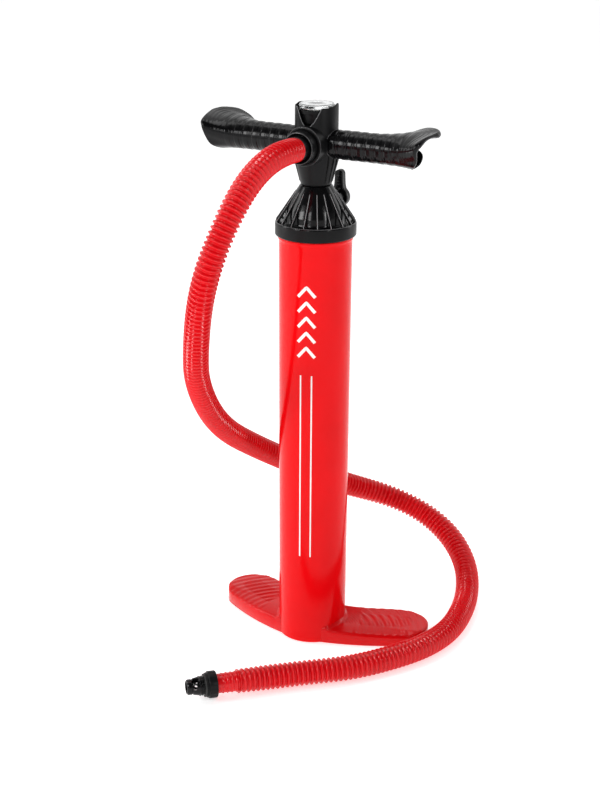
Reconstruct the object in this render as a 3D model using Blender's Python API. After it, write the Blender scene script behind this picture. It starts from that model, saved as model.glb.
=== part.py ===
"""Double action hand pump: barrel with foot plates, screw cap, sliding handle, gauge and hose.

Origin on the floor under the barrel's axis, +Z up, grips along X, hose outlet towards -Y.
Dimensions are in millimetres, and each mesh is scaled to metres when it is stored.
"""

import math

import bmesh
import bpy
import numpy
from mathutils import Matrix, Vector

MM = 0.001

# Barrel and feet
BARREL_FOOT_RADIUS = 38.3
BARREL_TOP_RADIUS = 40.0
BARREL_LIP_RADIUS = 41.3
BARREL_TOP = 482.5
BORE_RADIUS = 35.5
BORE_FLOOR = 8.0
FOOT_ROOT_HEIGHT = 20.3
FOOT_SLOPE = 0.045
FOOT_TIP_CENTRE = (98.0, 36.0)
FOOT_TIP_RADIUS = 31.0
FOOT_WALL = 4.0

# Cap
CAP_BOTTOM = 473.6
CAP_DECK = 488.5
CAP_TOP = 528.7
CAP_RADIUS = 44.0
DRUM_RADIUS = 25.0
FIN_COUNT = 18
FIN_THICKNESS = 1.6
SCREW_CIRCLE_CAP = 19.8

# Mode lever, on the back of the cap
LEVER_Z = 503.5
LEVER_BOSS_END = 52.0
LEVER_ARM = 25.5

# Rod and piston
ROD_RADIUS = 11.0
ROD_BORE_RADIUS = 9.0
RUNNING_RADIUS = 11.3
PISTON_RADIUS = 34.5
SCREW_CIRCLE_PISTON = 25.6

# Handle
HANDLE_Z = 574.0
HUB_RADIUS = 22.5
HUB_BOTTOM = 529.0
HUB_RIM = 608.3
HORN_TOP = 613.3
POCKET_RADIUS = 19.9
POCKET_FLOOR = 596.0
GRIP_START = 25.8
GRIP_FLARE_START = 62.0
GRIP_RADIUS = 15.6
GRIP_BORE_RADIUS = 12.5
GRIP_WALL = 2.8
GRIP_SCREW_X = 45.0

# Rim of a grip: distance along the grip, towards the back, above the grip's axis.
# Below it ends as a tube; above and behind it widens into the palm flange.
GRIP_RIM = [
    (115, 0, -17.6),
    (121, -13, -12),
    (124, -19.5, -3),
    (123, -27, 6),
    (125, -24.5, 14.5),
    (129.5, -12, 19.5),
    (133, 3, 22.5),
    (133.5, 15, 24.5),
    (125, 25, 25),
    (111, 31, 22),
    (97, 30.5, 15),
    (101, 25, 5),
    (114, 17.5, -4),
    (116, 11, -14),
]

# Hose and fitting
HOSE_RADIUS = 14.0
CUFF_RADIUS = 13.9
SPIGOT_CLEAR_RADIUS = 9.3
CUFF_TOP_END = 46.0
FITTING_AT = (-14.5, -197.5, 16.3)
FITTING_HEADING = Vector((-0.723, -0.691, 0.0)).normalized()
CUFF_END_LENGTH = 28.0
TUBE_GAP = 0.4
SQUARE_END = 8.0

# The hose's free route, from the cuff at the handle to the cuff of the fitting
ROUTE = [
    (0, -46.3, 574),
    (-1, -91, 573),
    (-5, -134, 557),
    (-12, -169, 521),
    (-26, -184, 472),
    (-43, -175, 421),
    (-58, -156, 379),
    (-73, -131, 339),
    (-84, -100, 302),
    (-92, -65, 268),
    (-96, -26, 237),
    (-96, 16, 210),
    (-90, 58, 184),
    (-74, 98, 158),
    (-56, 136, 133),
    (-39, 174, 111),
    (-3, 208, 91),
    (41, 220, 72),
    (85, 209, 50),
    (117, 180, 28),
    (134, 144, 16.3),
    (147, 97, 14.3),
    (153, 42, 14.3),
    (144, -7, 14.3),
    (122, -52, 14.3),
    (93, -92, 14.3),
    (59, -124, 14.5),
    (30, -152, 15),
]

UP = Vector((0, 0, 1))
OUTLET = Vector((0, -1, 0))
ROUND = 24
FINE = 48


def clear_scene():
    for item in list(bpy.data.objects):
        bpy.data.objects.remove(item, do_unlink=True)


def finish(name, colour, roughness, metallic=0.0, transmission=0.0):
    """A Principled BSDF material."""
    material = bpy.data.materials.new(name)
    material.use_nodes = True
    shader = material.node_tree.nodes["Principled BSDF"]
    shader.inputs["Base Color"].default_value = (*colour, 1.0)
    shader.inputs["Roughness"].default_value = roughness
    shader.inputs["Metallic"].default_value = metallic
    shader.inputs["Transmission Weight"].default_value = transmission
    material.diffuse_color = (*colour, 1.0)
    return material


def make_finishes():
    return {
        "red": finish("red_gloss_plastic", (0.72, 0.02, 0.03), 0.25),
        "hose_red": finish("red_hose_plastic", (0.74, 0.03, 0.04), 0.3),
        "black": finish("black_plastic", (0.02, 0.02, 0.022), 0.4),
        "grip": finish("black_grip", (0.018, 0.018, 0.02), 0.35),
        "rubber": finish("black_rubber", (0.03, 0.03, 0.03), 0.7),
        "aluminium": finish("aluminium", (0.8, 0.8, 0.82), 0.3, 1.0),
        "brass": finish("brass", (0.8, 0.6, 0.25), 0.3, 1.0),
        "steel": finish("steel", (0.6, 0.6, 0.62), 0.3, 1.0),
        "white": finish("white_plastic", (0.85, 0.85, 0.85), 0.4),
        "clear": finish("clear_acrylic", (0.95, 0.97, 0.97), 0.03, 0.0, 0.9),
        "natural": finish("natural_plastic", (0.8, 0.78, 0.7), 0.45),
    }


def joint_frame(name, at):
    """The empty on a joint's axis that the pieces of one moving body hang on."""
    empty = bpy.data.objects.new(name + "_joint", None)
    empty.location = Vector(at) * MM
    bpy.context.scene.collection.objects.link(empty)
    return empty


def store(shape, name, material, body=None, at=(0, 0, 0), axis=UP):
    """Turn a bmesh in millimetres into an object, its local Z along axis."""
    bmesh.ops.recalc_face_normals(shape, faces=shape.faces)
    bmesh.ops.scale(shape, vec=(MM, MM, MM), verts=shape.verts)
    mesh = bpy.data.meshes.new(name)
    shape.to_mesh(mesh)
    shape.free()
    mesh.materials.append(material)
    mesh.shade_smooth()
    mesh.set_sharp_from_angle(angle=math.radians(35))
    item = bpy.data.objects.new(name, mesh)
    bpy.context.scene.collection.objects.link(item)
    place(item, body, at)
    item.rotation_mode = "QUATERNION"
    item.rotation_quaternion = UP.rotation_difference(Vector(axis))
    return item


def place(item, body, at):
    item.location = Vector(at) * MM
    if body:
        item.parent = body
        item.location -= body.location


def combine(target, operand, operation):
    """Join the operand to the target, or cut it away; the operand itself stays hidden."""
    modifier = target.modifiers.new(operand.name, "BOOLEAN")
    modifier.operation = operation
    modifier.object = operand
    modifier.solver = "EXACT"
    operand.hide_render = True
    operand.display_type = "WIRE"


def add_ring_band(shape, lower, upper):
    """Faces between two rings of points, where a ring of one point is a pole."""
    count = max(len(lower), len(upper))
    if count == 1:
        return
    for k in range(count):
        corners = [lower[k % len(lower)], lower[(k + 1) % len(lower)]]
        corners += [upper[(k + 1) % len(upper)], upper[k % len(upper)]]
        shape.faces.new(list(dict.fromkeys(corners)))


def add_rings(shape, rings, closed):
    """A surface through rings of points; closed joins the last ring to the first."""
    made = [[shape.verts.new(point) for point in ring] for ring in rings]
    for lower, upper in zip(made, made[1:]):
        add_ring_band(shape, lower, upper)
    if closed:
        add_ring_band(shape, made[-1], made[0])


def add_turned(shape, profile, segments=ROUND, matrix=Matrix()):
    """A turned solid from (radius, height) points, touching its axis at both ends or at neither."""
    rings = []
    for radius, height in profile:
        if radius == 0:
            rings.append([matrix @ Vector((0, 0, height))])
            continue
        ring = []
        for k in range(segments):
            angle = 2 * math.pi * k / segments
            ring.append(matrix @ Vector((radius * math.cos(angle), radius * math.sin(angle), height)))
        rings.append(ring)
    add_rings(shape, rings, closed=profile[0][0] > 0)


def add_prism(shape, outline, low, high, matrix=Matrix()):
    """An outline in XY, extruded from low to high along Z."""
    ends = []
    for height in (low, high):
        ends.append([shape.verts.new(matrix @ Vector((x, y, height))) for x, y in outline])
    add_ring_band(shape, *ends)
    for end in ends:
        shape.faces.new(end)


def turned(name, profile, material, body=None, at=(0, 0, 0), axis=UP, segments=ROUND):
    shape = bmesh.new()
    add_turned(shape, profile, segments)
    return store(shape, name, material, body, at, axis)


def tube_profile(inner, outer, low, high):
    return [(inner, low), (outer, low), (outer, high), (inner, high)]


def rod_profile(radius, low, high):
    return [(0, low), (radius, low), (radius, high), (0, high)]


def torus_profile(major, minor, height, points=6):
    profile = []
    for k in range(points):
        angle = 2 * math.pi * k / points
        profile.append((major + minor * math.cos(angle), height + minor * math.sin(angle)))
    return profile


def on_circle(radius, count, first=0.0):
    """Translations to evenly spaced places on a circle."""
    places = []
    for k in range(count):
        angle = math.radians(first) + 2 * math.pi * k / count
        places.append(Matrix.Translation((radius * math.cos(angle), radius * math.sin(angle), 0)))
    return places


def bezier(controls, count):
    """Points along a Bezier curve with any number of control points."""
    points = []
    for k in range(count):
        t = k / (count - 1)
        level = [Vector(control) for control in controls]
        while len(level) > 1:
            level = [a.lerp(b, t) for a, b in zip(level, level[1:])]
        points.append(tuple(level[0]))
    return points


def arc(centre, radius, start, end, count):
    points = []
    for k in range(count):
        angle = math.radians(start + (end - start) * k / (count - 1))
        points.append((centre[0] + radius * math.cos(angle), centre[1] + radius * math.sin(angle)))
    return points


def foot_outline():
    """The right foot plate from above: front edge, round tip, hollowed back edge."""
    front = bezier([(22, -29), (72, -17.5), (114.7, 9.9)], 9)
    tip = arc(FOOT_TIP_CENTRE, FOOT_TIP_RADIUS, -57.4, 100, 12)
    back = bezier([(92.6, 66.5), (66, 60), (48, 39), (10, 36.5)], 9)
    return [(5, -18)] + front[:-1] + tip[:-1] + back + [(5, 30)]


def inset(outline, distance):
    """The outline moved inwards by a distance, point by point."""
    moved = []
    count = len(outline)
    for k, (x, y) in enumerate(outline):
        before = Vector(outline[k - 1])
        after = Vector(outline[(k + 1) % count])
        along = (after - before).normalized()
        moved.append((x - along.y * distance, y + along.x * distance))
    return moved


def foot_height(x):
    return FOOT_ROOT_HEIGHT - FOOT_SLOPE * abs(x)


def mirrored(side):
    return Matrix.Diagonal((side, 1, 1, 1))


def add_foot(shape, side):
    """One foot plate with a rounded top edge; its top slopes down towards the tip."""
    outline = foot_outline()
    rings = [[mirrored(side) @ Vector((x, y, 0)) for x, y in outline]]
    for distance, drop in ((0.0, 4.0), (0.9, 1.3), (3.0, 0.0)):
        ring = inset(outline, distance)
        rings.append([mirrored(side) @ Vector((x, y, foot_height(x) - drop)) for x, y in ring])
    made = [[shape.verts.new(point) for point in ring] for ring in rings]
    for lower, upper in zip(made, made[1:]):
        add_ring_band(shape, lower, upper)
    shape.faces.new(made[0])
    shape.faces.new(made[-1])


def crossing(outline, x):
    """The lowest and highest Y where the outline crosses X."""
    found = []
    for (x0, y0), (x1, y1) in zip(outline, outline[1:]):
        if min(x0, x1) <= x <= max(x0, x1) and x0 != x1:
            found.append(y0 + (y1 - y0) * (x - x0) / (x1 - x0))
    return min(found), max(found)


def add_foot_pockets(shape, side):
    """Three cells under a foot plate, with ribs left between them."""
    outline = foot_outline()
    for x0, x1 in ((46, 70), (74, 97), (101, 118)):
        low0, high0 = crossing(outline, x0)
        low1, high1 = crossing(outline, x1)
        cell = [(x0, low0 + FOOT_WALL), (x1, low1 + FOOT_WALL)]
        cell += [(x1, high1 - FOOT_WALL), (x0, high0 - FOOT_WALL)]
        add_prism(shape, cell, -2, foot_height(x1) - FOOT_WALL, mirrored(side))


def make_barrel(finishes):
    body = turned(
        "barrel_foot_moulding",
        [
            (0, 0),
            (BARREL_FOOT_RADIUS - 1, 0),
            (BARREL_FOOT_RADIUS, 1),
            (BARREL_TOP_RADIUS, 469),
            (BARREL_LIP_RADIUS, 470.4),
            (BARREL_LIP_RADIUS, 472.4),
            (BARREL_TOP_RADIUS, 473.2),
            (BARREL_TOP_RADIUS, BARREL_TOP),
            (0, BARREL_TOP),
        ],
        finishes["red"],
        segments=FINE,
    )
    feet = bmesh.new()
    hollows = bmesh.new()
    for side in (1, -1):
        add_foot(feet, side)
        add_foot_pockets(hollows, side)
    add_turned(hollows, rod_profile(BORE_RADIUS, BORE_FLOOR, 500), FINE)
    combine(body, store(feet, "feet_operand", finishes["red"]), "UNION")
    combine(body, store(hollows, "hollows_operand", finishes["red"]), "DIFFERENCE")


def add_fins(shape):
    """Thin radial plates under the slope of the cap."""
    slope = (CAP_TOP - 0.8 - (CAP_DECK + 0.6)) / (17.6 - 43.4)
    inner = DRUM_RADIUS - 1
    plate = [(inner, CAP_DECK - 0.5), (43.4, CAP_DECK - 0.5), (43.4, CAP_DECK + 0.6)]
    plate.append((inner, CAP_DECK + 0.6 + slope * (inner - 43.4) - 0.3))
    upright = Matrix.Rotation(math.radians(90), 4, "X")
    for k in range(FIN_COUNT):
        turn = Matrix.Rotation(2 * math.pi * k / FIN_COUNT, 4, "Z")
        add_prism(shape, plate, -FIN_THICKNESS / 2, FIN_THICKNESS / 2, turn @ upright)


def make_cap(finishes):
    cap = turned(
        "cap",
        [
            (43.4, CAP_BOTTOM),
            (CAP_RADIUS, CAP_BOTTOM + 0.6),
            (CAP_RADIUS, CAP_DECK - 0.9),
            (43.3, CAP_DECK),
            (25.6, CAP_DECK),
            (25.6, CAP_DECK + 1.8),
            (DRUM_RADIUS, CAP_DECK + 2.5),
            (DRUM_RADIUS, 516.7),
            (17.6, CAP_TOP - 0.8),
            (16.4, CAP_TOP),
            (12.0, CAP_TOP),
            (12.0, 522.3),
            (14.5, 522.3),
            (14.5, 486.8),
            (16.5, 486.8),
            (16.5, 481.0),
            (23.0, 481.0),
            (23.0, 484.5),
            (40.4, 484.5),
            (40.4, CAP_BOTTOM),
        ],
        finishes["black"],
        segments=2 * FIN_COUNT,
    )
    fins = bmesh.new()
    add_fins(fins)
    boss_axis = Matrix.Translation((0, 0, LEVER_Z)) @ Matrix.Rotation(math.radians(-90), 4, "X")
    half_step = Matrix.Rotation(math.pi / 24, 4, "Z")
    boss = bmesh.new()
    add_turned(boss, rod_profile(8.4, 21, LEVER_BOSS_END), 24, boss_axis @ half_step)
    cuts = bmesh.new()
    add_turned(cuts, rod_profile(5.3, 31, LEVER_BOSS_END + 5), 24, boss_axis)
    for spot in on_circle(30.5, FIN_COUNT // 2, 180 / FIN_COUNT):
        add_turned(cuts, rod_profile(2.0, 480, 495), 8, spot)
    for spot in on_circle(SCREW_CIRCLE_CAP, 3, 30):
        add_turned(cuts, rod_profile(1.3, 478, 486), 8, spot)
    combine(cap, store(fins, "fins_operand", finishes["black"]), "UNION")
    combine(cap, store(boss, "boss_operand", finishes["black"]), "UNION")
    combine(cap, store(cuts, "cap_cuts_operand", finishes["black"]), "DIFFERENCE")


def make_cap_inside(finishes):
    turned("cap_oring", torus_profile(37.8, 0.7, 483.5), finishes["rubber"])
    turned("rod_guide_bush", tube_profile(RUNNING_RADIUS, 14.2, 487.1, 522.0), finishes["natural"])
    lips = [(RUNNING_RADIUS, 481.3), (16.2, 481.3), (16.2, 486.5), (13.6, 486.5), (13.0, 484.0)]
    lips += [(12.4, 486.5), (RUNNING_RADIUS, 486.5)]
    turned("rod_seal", lips, finishes["rubber"])
    retainer = turned("seal_retainer", tube_profile(11.8, 26.0, 478.0, 480.7), finishes["black"])
    holes = bmesh.new()
    for k, spot in enumerate(on_circle(SCREW_CIRCLE_CAP, 3, 30)):
        add_turned(holes, rod_profile(1.5, 470, 490), 8, spot)
        screw = [(0, 476.4), (2.2, 476.4), (2.6, 476.9), (2.6, 477.7), (1.0, 477.7), (1.0, 485.5)]
        turned(
            f"retainer_screw_{k + 1}",
            screw + [(0, 485.5)],
            finishes["steel"],
            at=spot.translation,
            segments=8,
        )
    combine(retainer, store(holes, "retainer_holes_operand", finishes["black"]), "DIFFERENCE")
    at = (0, 0, 484.2)
    flap_frame = joint_frame("intake_flap", at)
    turned("intake_flap", tube_profile(23.3, 34.8, -1.3, 0), finishes["rubber"], flap_frame, at)


def lever_outline():
    """Lever seen along its spindle: round hub with a rounded arm standing up."""
    hub = arc((0, 0), 11.5, 118, 422, 19)
    tip = arc((0, LEVER_ARM), 5.0, 0, 180, 9)
    return hub + [(5.6, 15)] + tip + [(-5.6, 15)]


def make_mode_lever(finishes):
    at = (0, 0, LEVER_Z)
    body = joint_frame("mode_lever", at)
    back = Matrix.Rotation(math.radians(-90), 4, "X")
    upright = Matrix.Rotation(math.radians(90), 4, "X")
    plate = bmesh.new()
    add_prism(plate, lever_outline(), -(LEVER_BOSS_END + 9.3), -(LEVER_BOSS_END + 0.3), upright)
    lever = store(plate, "mode_lever", finishes["black"], body, at)
    spindle = bmesh.new()
    profile = [(0, 31.5), (5.0, 31.5), (5.0, 38), (4.0, 38), (4.0, 39.6), (5.0, 39.6)]
    add_turned(spindle, profile + [(5.0, LEVER_BOSS_END + 2), (0, LEVER_BOSS_END + 2)], 24, back)
    operand = store(spindle, "spindle_operand", finishes["black"], body, at)
    combine(lever, operand, "UNION")
    ring = torus_profile(4.65, 0.32, 38.8, 6)
    turned("lever_oring", ring, finishes["rubber"], body, at, axis=(0, 1, 0), segments=24)


def make_rod(finishes, body):
    rod = tube_profile(ROD_BORE_RADIUS, ROD_RADIUS, 36.6, 559.7)
    turned("piston_rod", rod, finishes["aluminium"], body)
    turned("inner_air_tube", tube_profile(5.0, 6.2, 28.0, 562.7), finishes["natural"], body, segments=24)


def make_piston(finishes, body):
    upper = turned(
        "piston_upper_plate",
        [
            (6.5, 27.3),
            (PISTON_RADIUS, 27.3),
            (PISTON_RADIUS, 32.4),
            (15.0, 33.6),
            (15.0, 50.0),
            (RUNNING_RADIUS, 50.0),
            (RUNNING_RADIUS, 36.3),
            (6.5, 36.3),
        ],
        finishes["black"],
        body,
    )
    lower = turned(
        "piston_lower_plate",
        [
            (0, 14.0),
            (PISTON_RADIUS, 14.0),
            (PISTON_RADIUS, 19.0),
            (28.7, 19.0),
            (28.7, 27.0),
            (22.5, 27.0),
            (22.5, 19.0),
            (2.6, 19.0),
            (2.6, 23.5),
            (0, 23.5),
        ],
        finishes["black"],
        body,
    )
    threads = bmesh.new()
    holes = bmesh.new()
    for k, spot in enumerate(on_circle(SCREW_CIRCLE_PISTON, 3)):
        add_turned(threads, rod_profile(1.7, 20, 31.5), 8, spot)
        add_turned(holes, rod_profile(1.7, 10, 30), 8, spot)
        screw = [(0, 12.2), (2.4, 12.2), (2.8, 12.7), (2.8, 13.7), (1.3, 13.7), (1.3, 31.2)]
        turned(
            f"piston_screw_{k + 1}",
            screw + [(0, 31.2)],
            finishes["steel"],
            body,
            at=spot.translation,
            segments=8,
        )
    for spot in on_circle(13.0, 6):
        add_turned(holes, rod_profile(2.0, 10, 20), 8, spot)
    combine(upper, store(threads, "piston_threads_operand", finishes["black"], body), "DIFFERENCE")
    combine(lower, store(holes, "piston_holes_operand", finishes["black"], body), "DIFFERENCE")
    seal = [(29.0, 19.4), (34.6, 19.4), (35.2, 20.2), (35.2, 22.2), (34.4, 23.2), (35.2, 24.2)]
    seal += [(35.2, 26.2), (34.6, 26.9), (29.0, 26.9)]
    turned("piston_seal", seal, finishes["rubber"], body)
    at = (0, 0, 19.3)
    flap_frame = joint_frame("piston_flap", at)
    turned("piston_flap", tube_profile(3.0, 19.5, 0, 1.4), finishes["rubber"], flap_frame, at)


def notch_outline():
    """The V-shaped window in the hub's rim, with a rounded point at the bottom."""
    right = [(0, 593), (4.5, 595.5), (11.5, 606), (13, 609), (13, 620)]
    return [(-x, z) for x, z in reversed(right)] + right[1:]


def make_hub(finishes, body):
    hub = turned(
        "handle_hub",
        [
            (0, HUB_BOTTOM),
            (15.9, HUB_BOTTOM),
            (16.8, HUB_BOTTOM + 0.9),
            (22.2, 557),
            (HUB_RADIUS, 560.3),
            (HUB_RADIUS, HORN_TOP - 0.6),
            (HUB_RADIUS - 0.6, HORN_TOP),
            (POCKET_RADIUS, HORN_TOP),
            (POCKET_RADIUS, POCKET_FLOOR),
            (0, POCKET_FLOOR),
        ],
        finishes["black"],
        body,
        segments=36,
    )
    along_x = Matrix.Translation((0, 0, HANDLE_Z)) @ Matrix.Rotation(math.radians(90), 4, "Y")
    along_outlet = Matrix.Translation((0, 0, HANDLE_Z)) @ Matrix.Rotation(math.radians(90), 4, "X")
    cross_arms = bmesh.new()
    arm = [(0, -60), (10.5, -60), (10.5, -25.5), (15.0, -25.5), (15.0, 25.5), (10.5, 25.5), (10.5, 60)]
    half_step = Matrix.Rotation(math.pi / 24, 4, "Z")
    add_turned(cross_arms, arm + [(0, 60)], 24, along_x @ half_step)
    outlet = bmesh.new()
    boss = [(0, 10), (19.5, 10), (19.5, 29.2), (18.7, 30), (13.0, 30), (13.0, 34.5), (0, 34.5)]
    add_turned(outlet, boss, ROUND, along_outlet)
    bores = bmesh.new()
    bore = [(0, 500), (RUNNING_RADIUS, 500), (RUNNING_RADIUS, 560), (6.5, 560), (6.5, 563), (8, 563)]
    add_turned(bores, bore + [(8, 585), (0, 585)])
    stem_hole = bmesh.new()
    add_turned(stem_hole, rod_profile(1.2, 584, 600), 12)
    upright = Matrix.Rotation(math.radians(90), 4, "X")
    for side in (1, -1):
        screw_hole = Matrix.Translation((side * GRIP_SCREW_X, 0, 0))
        add_turned(bores, rod_profile(1.8, HANDLE_Z - 20, HANDLE_Z - 4), 12, screw_hole)
    passage = bmesh.new()
    channel = [(0, -2), (5, -2), (5, 31.2), (7, 31.2), (7, 45), (0, 45)]
    add_turned(passage, channel, 20, along_outlet @ half_step)
    rim = bmesh.new()
    notches = bmesh.new()
    for side in (1, -1):
        near, far = sorted((side * 5.6, side * 40))
        add_prism(rim, [(-40, near), (40, near), (40, far), (-40, far)], HUB_RIM, 630)
        near, far = sorted((side * 18.5, side * 40))
        add_prism(notches, notch_outline(), near, far, upright)
    combine(hub, store(cross_arms, "cross_arms_operand", finishes["black"], body), "UNION")
    combine(hub, store(outlet, "outlet_operand", finishes["black"], body), "UNION")
    combine(hub, store(passage, "passage_operand", finishes["black"], body), "DIFFERENCE")
    combine(hub, store(bores, "bores_operand", finishes["black"], body), "DIFFERENCE")
    combine(hub, store(rim, "rim_operand", finishes["black"], body), "DIFFERENCE")
    combine(hub, store(notches, "notches_operand", finishes["black"], body), "DIFFERENCE")
    combine(hub, store(stem_hole, "stem_hole_operand", finishes["black"], body), "DIFFERENCE")


def closed_spline(points, steps):
    """A smooth closed curve (Catmull-Rom) through points, with a number of steps between them."""
    knots = [Vector(point) for point in points]
    count = len(knots)
    curve = []
    for k in range(count):
        p0, p1, p2, p3 = knots[k - 1], knots[k], knots[(k + 1) % count], knots[(k + 2) % count]
        for step in range(steps):
            t = step / steps
            bend = (2 * p0 - 5 * p1 + 4 * p2 - p3) * t**2 + (3 * p1 - p0 - 3 * p2 + p3) * t**3
            curve.append((2 * p1 + (p2 - p0) * t + bend) / 2)
    return curve


def grip_ring(side, along, radius, share=0.0, wall=0.0):
    """A ring of a grip: share 0 is a circle at a distance along it, share 1 is on the rim."""
    rim = closed_spline(GRIP_RIM, 2)
    ring = []
    for k, edge in enumerate(rim):
        angle = 2 * math.pi * k / len(rim) - math.pi
        edge_radius = math.hypot(edge.y, edge.z)
        shrink = 1 - wall / edge_radius
        flare = share**3
        back = radius * math.sin(angle) * (1 - flare) + edge.y * shrink * flare
        up = radius * math.cos(angle) * (1 - flare) + edge.z * shrink * flare
        ring.append((side * (along + (edge.x - along) * share), back, HANDLE_Z + up))
    return ring


def make_grip(finishes, body, name, side):
    """A hollow grip, open at its outer end, whose top half sweeps up into a palm flange."""
    rings = [grip_ring(side, GRIP_START, 14.0), grip_ring(side, GRIP_START + 0.8, 14.6)]
    for share in (0.0, 0.3, 0.5, 0.65, 0.8, 0.92, 1.0):
        rings.append(grip_ring(side, GRIP_FLARE_START, GRIP_RADIUS, share))
    for share in (0.99, 0.85, 0.65, 0.4):
        rings.append(grip_ring(side, GRIP_FLARE_START, GRIP_BORE_RADIUS, share, GRIP_WALL))
    rings.append(grip_ring(side, GRIP_FLARE_START + 0.5, GRIP_BORE_RADIUS))
    rings.append(grip_ring(side, GRIP_FLARE_START, 10.8))
    rings.append(grip_ring(side, GRIP_START, 10.8))
    shape = bmesh.new()
    add_rings(shape, rings, closed=True)
    grip = store(shape, name, finishes["grip"], body)
    hole = bmesh.new()
    spot = Matrix.Translation((side * GRIP_SCREW_X, 0, 0))
    add_turned(hole, [(0, 550), (3.1, 550), (3.1, 561), (1.8, 561), (1.8, 566), (0, 566)], 12, spot)
    combine(grip, store(hole, name + "_hole_operand", finishes["grip"], body), "DIFFERENCE")
    screw = [(0, 559.6), (2.3, 559.6), (2.7, 560), (2.7, 560.7), (1.4, 560.9), (1.4, 569), (0, 569)]
    label = name.replace("_grip", "")
    at = (side * GRIP_SCREW_X, 0, 0)
    turned(f"grip_screw_{label}", screw, finishes["steel"], body, at, segments=8)


def make_gauge(finishes, body):
    can = [(1.5, 596.4), (19.5, 596.4), (19.5, 606.2), (17.2, 606.2), (17.2, 597.6), (1.5, 597.6)]
    turned("gauge_housing", can, finishes["black"], body, segments=ROUND)
    socket = [(0, 592), (0.9, 592), (0.9, 598.0), (2.6, 598.0), (2.6, 602.0), (0, 602.0)]
    turned("gauge_socket", socket, finishes["brass"], body, segments=16)
    turned("gauge_dial", tube_profile(1.0, 17.6, 606.5, 607.3), finishes["white"], body, segments=ROUND)
    lens = [(0, 612.2), (17.9, 612.0), (17.9, 606.5), (19.3, 606.5), (19.3, 615.4), (18.6, 616.2)]
    turned("gauge_lens", lens + [(0, 616.8)], finishes["clear"], body, segments=ROUND)
    route = [(0, -3.2, 600.5), (0, -8, 600.5), (1.2, -11.6, 600.5), (4.5, -13.2, 600.5)]
    for angle in range(-60, 171, 21):
        turn = math.radians(angle)
        route.append((14 * math.cos(turn), 14 * math.sin(turn), 600.5))
    tube = cord("bourdon_tube", route, 1.1, 1, finishes["brass"])
    place(tube, body, (0, 0, 0))


def make_gauge_movement(finishes):
    needle_frame = joint_frame("gauge_needle", (0, 0, 609.5))
    pinion = [(0, 602.4), (1.35, 602.4), (1.35, 605.0), (0.6, 605.0), (0.6, 609.2), (0, 609.2)]
    turned("gauge_pinion", pinion, finishes["brass"], needle_frame, (0, 0, 0), segments=16)
    needle = bmesh.new()
    outline = [(0.55, 1.6), (0.12, 13.5), (-0.12, 13.5), (-0.55, 1.6)]
    outline += arc((0, 0), 1.7, 109, 251, 7) + [(-0.6, -4.5), (0.6, -4.5)]
    outline += arc((0, 0), 1.7, 289, 431, 7)
    add_prism(needle, outline, 0, 0.7)
    turn = Matrix.Rotation(math.radians(135), 4, "Z")
    bmesh.ops.transform(needle, matrix=turn, verts=needle.verts)
    at = (0, 0, 609.5)
    store(needle, "gauge_needle", finishes["red"], needle_frame, at)
    pivot = (-9.0, 0, 603.2)
    sector_frame = joint_frame("gauge_sector", pivot)
    wedge = bmesh.new()
    add_prism(wedge, arc((0, 0), 7.35, -62, 8, 12) + arc((0, 0), 1.8, 60, 240, 7), 0, 1.0)
    sector = store(wedge, "gauge_sector", finishes["brass"], sector_frame, pivot)
    pin = bmesh.new()
    add_turned(pin, rod_profile(0.8, -5.0, 0.5), 12)
    combine(sector, store(pin, "sector_pin_operand", finishes["brass"], sector_frame, pivot), "UNION")


def make_outlet(finishes, body):
    """The pieces along the outlet's axis; heights are distances from the rod's axis."""
    at = (0, 0, HANDLE_Z)
    seat = (0, -31.5, HANDLE_Z)
    valve_frame = joint_frame("outlet_valve", seat)
    turned("outlet_valve", rod_profile(6.6, 0, 1.3), finishes["rubber"], valve_frame, seat, OUTLET, 24)
    gasket = tube_profile(5.5, 12.7, 34.8, 35.6)
    turned("outlet_gasket", gasket, finishes["rubber"], body, at, OUTLET)
    connector = [(5.5, 35.9), (12.9, 35.9), (12.9, 36.9), (9.0, 36.9), (9.0, 45.0), (6.5, 45.0)]
    turned("hose_connector", connector + [(6.5, 37.5), (5.5, 36.9)], finishes["black"], body, at, OUTLET)
    nut = [(13.3, 30.4), (16.4, 30.4), (17.2, 31.2), (17.2, 42.2), (16.6, 43.0), (14.6, 43.0)]
    nut += [(14.6, 39.0), (SPIGOT_CLEAR_RADIUS, 39.0), (SPIGOT_CLEAR_RADIUS, 37.2), (13.3, 37.2)]
    nut_frame = joint_frame("hose_nut", (0, 0, HANDLE_Z))
    turned("hose_nut", nut, finishes["black"], nut_frame, at, OUTLET)
    cuff = [(SPIGOT_CLEAR_RADIUS, 39.3), (13.3, 39.3), (CUFF_RADIUS, 39.9), (CUFF_RADIUS, CUFF_TOP_END)]
    cuff.append((SPIGOT_CLEAR_RADIUS, CUFF_TOP_END))
    turned("hose_cuff_top", cuff, finishes["hose_red"], body, at, OUTLET)


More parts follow.
